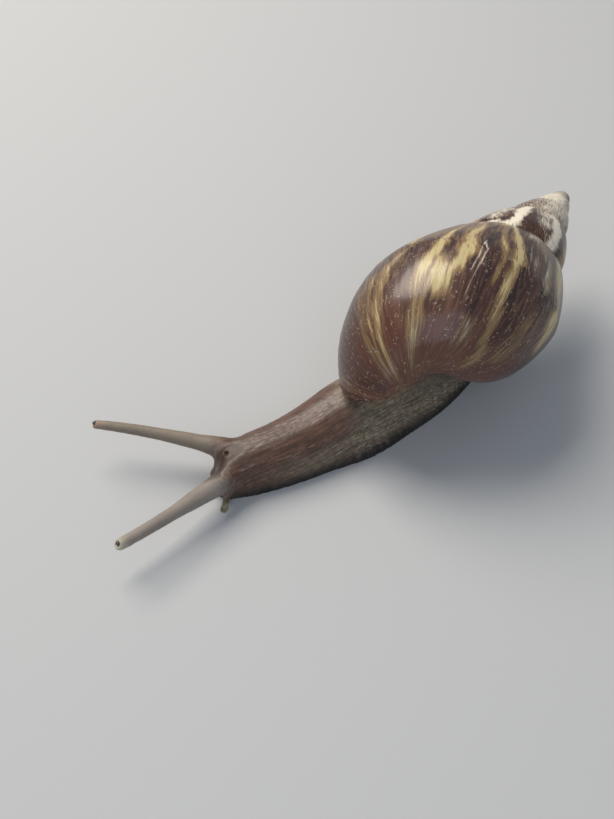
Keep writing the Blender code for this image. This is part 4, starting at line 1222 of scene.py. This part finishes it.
class ShellLook(bpy.types.PropertyGroup):
    ridge_height: length_property("Ridge height", "Height of the growth ridges", 0.035)
    # Dark is the darkest chestnut, tinted purple as a painted reflection of the sky
    dark: colour_property("Dark", "Darkest chestnut of the shell", "#2a1b1b")
    chestnut: colour_property("Chestnut", "Main brown of the shell", "#452d25")
    thread: colour_property("Thread", "Paler brown threads", "#694a3a")
    red_brown: colour_property("Red brown", "Red brown of the base", "#653a29")
    olive: colour_property("Olive", "Dull edges of the flames", "#604a33")
    ochre: colour_property("Ochre", "Flanks of the flames", "#7a6243")
    yellow: colour_property("Yellow", "Middle of the flames", "#b0a074")
    cream: colour_property("Cream", "Cream of the worn spire", "#dcd4c2")
    chalk: colour_property("Chalk", "Chalky grey of the worn spire", "#94897b")
    inside: colour_property("Inside", "Lining of the opening", "#c9c6c6")
    roughness: share_property("Roughness", "Roughness of the polished shell", 0.28)
    coat: share_property("Gloss", "Strength of the clear gloss", 0.5)


class SkinLook(bpy.types.PropertyGroup):
    fineness: length_property("Fineness", "Size of the skin's mesh cells", 0.27)
    overlap: length_property("Overlap", "How far the soft parts grow to meet", 0.2)
    tubercle_height: length_property("Tubercles", "Height of the skin's tubercles", 0.13)
    back: colour_property("Back", "Purple-grey of the neck's back", "#61524b")
    dash: colour_property("Dashes", "Pale dashes along the neck's back", "#918479")
    flank: colour_property("Flank", "Red-brown of the neck's sides and face", "#573e32")
    olive: colour_property("Olive", "Olive of the body under the shell", "#7c705e")
    # Foot is painted shade on the body's low sides, darker towards the sole
    foot: colour_property("Foot", "Dark margin of the foot", "#2c2725")
    # Shade is painted shade over the face, and the dark of the crown's pit
    shade: colour_property("Shade", "Dark of the face and of the crown's pit", "#20110a")
    collar: colour_property("Collar", "Mantle at the shell's opening", "#7a6450")
    near_feeler: colour_property("Left feeler", "Tan-grey of the left feeler", "#827a72")
    far_feeler: colour_property("Right feeler", "Olive of the right feeler", "#796f62")
    near_tip: colour_property("Left tip", "Pale yellow tip of the left feeler", "#a6a28e")
    far_tip: colour_property("Right tip", "Reddish tip of the right feeler", "#8c7567")
    lower_feeler: colour_property("Lower feelers", "Yellow-olive lower feelers", "#8d8568")
    roughness: share_property("Roughness", "Roughness of the wet skin", 0.46)
    coat: share_property("Wetness", "Strength of the film of mucus", 0.14)


class EyeLook(bpy.types.PropertyGroup):
    colour: colour_property("Colour", "Dark of the eye", "#14100f")
    glint: colour_property("Glint", "Paler cloud in the eye", "#33291f")
    depth: length_property("Depth", "How deep the eye sits in the feeler's tip", 0.32)


class StageLook(bpy.types.PropertyGroup):
    floor: colour_property("Floor", "Pale floor", "#a9abad")
    world: colour_property("Surroundings", "Soft light from all round", "#e4ebf3")
    world_strength: bpy.props.FloatProperty(
        name="Surroundings strength", description="Strength of the light from all round",
        min=0.0, default=0.42)
    key_power: bpy.props.FloatProperty(
        name="Key light", description="Power of the large soft light", unit="POWER",
        min=0.0, default=4.6)


# ---- operators ---------------------------------------------------------------------------
class SNAIL_OT_shell(bpy.types.Operator):
    """Builds the shell with its whorls, growth ridges and flames"""
    bl_idname = "snail.shell"
    bl_label = "Shell"

    def execute(self, context):
        look = context.scene.snail_shell
        shell = build_shell(look)
        shell.data.materials.append(shell_finish(look))
        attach(shell, BODY)
        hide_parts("shell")
        return {"FINISHED"}


class SNAIL_OT_skin(bpy.types.Operator):
    """Builds one skin over the head, neck, foot, tail, mantle and feelers"""
    bl_idname = "snail.skin"
    bl_label = "Skin"

    def execute(self, context):
        look = context.scene.snail_skin
        skin = build_skin(look)
        sculpt_skin(skin, look)
        skin.data.materials.append(skin_finish(look))
        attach(skin, BODY)
        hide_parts(*FLESH)
        return {"FINISHED"}


class SNAIL_OT_eyes(bpy.types.Operator):
    """Builds the two eyes let into the tips of the upper feelers"""
    bl_idname = "snail.eyes"
    bl_label = "Eyes"

    def execute(self, context):
        look = context.scene.snail_eye
        finish = eye_finish(look)
        for name in EYES:
            low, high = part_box(name)
            route = UPPER_FEELERS[name.rsplit("_", 1)[1]]
            inwards = (Vector(route[-2]) - Vector(route[-1])).normalized()
            deselect()
            bpy.ops.mesh.primitive_uv_sphere_add(
                segments=24, ring_count=16, radius=(high - low).x / 2,
                location=(low + high) / 2 + inwards * look.depth)
            eye = bpy.context.object
            eye.name = eye.data.name = name + "_bead"
            bpy.ops.object.transform_apply(location=True, rotation=True, scale=True)
            eye.data.shade_smooth()
            eye.data.materials.append(finish)
            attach(eye, BODY)
            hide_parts(name)
        return {"FINISHED"}


class SNAIL_OT_stage(bpy.types.Operator):
    """Sets the pale floor, the soft lights and the camera"""
    bl_idname = "snail.stage"
    bl_label = "Stage"

    def execute(self, context):
        look = context.scene.snail_stage
        deselect()
        bpy.ops.mesh.primitive_plane_add(size=FLOOR_SIZE, location=(0.0, 0.0, -FLOOR_DROP))
        floor = bpy.context.object
        floor.name = floor.data.name = "studio_floor"
        bpy.ops.object.transform_apply(location=True, rotation=True, scale=True)
        # uncoated card: matt, with a faint nap of fibres about 1 mm long
        finish, tree, shader = new_finish("pale_matt_card")
        spot = add_node(tree, "ShaderNodeTexCoord")
        fibre = add_node(tree, "ShaderNodeTexNoise", inputs={"Scale": 900.0, "Detail": 3.0},
                         links={"Vector": spot.outputs["Object"]})
        bump = add_node(tree, "ShaderNodeBump", inputs={"Strength": 0.15, "Distance": 0.0001},
                        links={"Height": fibre.outputs["Fac"]})
        tree.links.new(bump.outputs["Normal"], shader.inputs["Normal"])
        shader.inputs["Base Color"].default_value = (*look.floor, 1.0)
        shader.inputs["Roughness"].default_value = 0.85
        floor.data.materials.append(finish)

        world = bpy.data.worlds.new("studio")
        world.use_nodes = True
        background = world.node_tree.nodes["Background"]
        background.inputs["Color"].default_value = (*look.world, 1.0)
        background.inputs["Strength"].default_value = look.world_strength
        context.scene.world = world

        for name, place, target, size, share, code in LIGHTS:
            add_light(name, place, target, size, look.key_power * share, code)

        camera_data = bpy.data.cameras.new("camera")
        camera_data.sensor_width = SENSOR_WIDTH
        camera_data.lens = CAMERA_LENS
        camera = bpy.data.objects.new("camera", camera_data)
        context.scene.collection.objects.link(camera)
        camera.location = CAMERA_PLACE
        aim = Vector(CAMERA_AIM) - camera.location
        camera.rotation_euler = aim.to_track_quat("-Z", "Y").to_euler()
        context.scene.camera = camera
        context.scene.view_settings.view_transform = "Standard"
        context.scene.view_settings.look = "None"
        return {"FINISHED"}


def add_light(name, location, target, size, power, code):
    """A large square light that looks at a point."""
    data = bpy.data.lights.new(name, "AREA")
    data.shape = "SQUARE"
    data.size = size
    data.energy = power
    data.color = linear(code)
    light = bpy.data.objects.new(name, data)
    bpy.context.scene.collection.objects.link(light)
    light.location = location
    light.rotation_euler = (Vector(target) - light.location).to_track_quat("-Z", "Y").to_euler()


class SNAIL_PT_panel(bpy.types.Panel):
    """Lists the snail's pieces and what can be changed on them"""
    bl_label = "Snail"
    bl_idname = "SNAIL_PT_panel"
    bl_space_type = "VIEW_3D"
    bl_region_type = "UI"
    bl_category = "Snail"

    def draw(self, context):
        for holder, (_, operator) in HOLDERS.items():
            box = self.layout.box()
            look = getattr(context.scene, holder)
            for name in look.__annotations__:
                box.prop(look, name)
            box.operator(operator.bl_idname)


HOLDERS = {"snail_stage": (StageLook, SNAIL_OT_stage),
           "snail_shell": (ShellLook, SNAIL_OT_shell),
           "snail_skin": (SkinLook, SNAIL_OT_skin),
           "snail_eye": (EyeLook, SNAIL_OT_eyes)}


def register():
    """Adds the property groups, operators and panel."""
    for holder, (group, operator) in HOLDERS.items():
        bpy.utils.register_class(group)
        setattr(bpy.types.Scene, holder, bpy.props.PointerProperty(type=group))
        bpy.utils.register_class(operator)
    bpy.utils.register_class(SNAIL_PT_panel)


def unregister():
    """Takes them out again."""
    bpy.utils.unregister_class(SNAIL_PT_panel)
    for holder, (group, operator) in reversed(HOLDERS.items()):
        bpy.utils.unregister_class(operator)
        delattr(bpy.types.Scene, holder)
        bpy.utils.unregister_class(group)


def main():
    """Builds the stage and every piece."""
    register()
    deselect()
    bpy.ops.snail.stage()
    bpy.ops.snail.shell()
    bpy.ops.snail.skin()
    bpy.ops.snail.eyes()


if __name__ == "__main__":
    main()
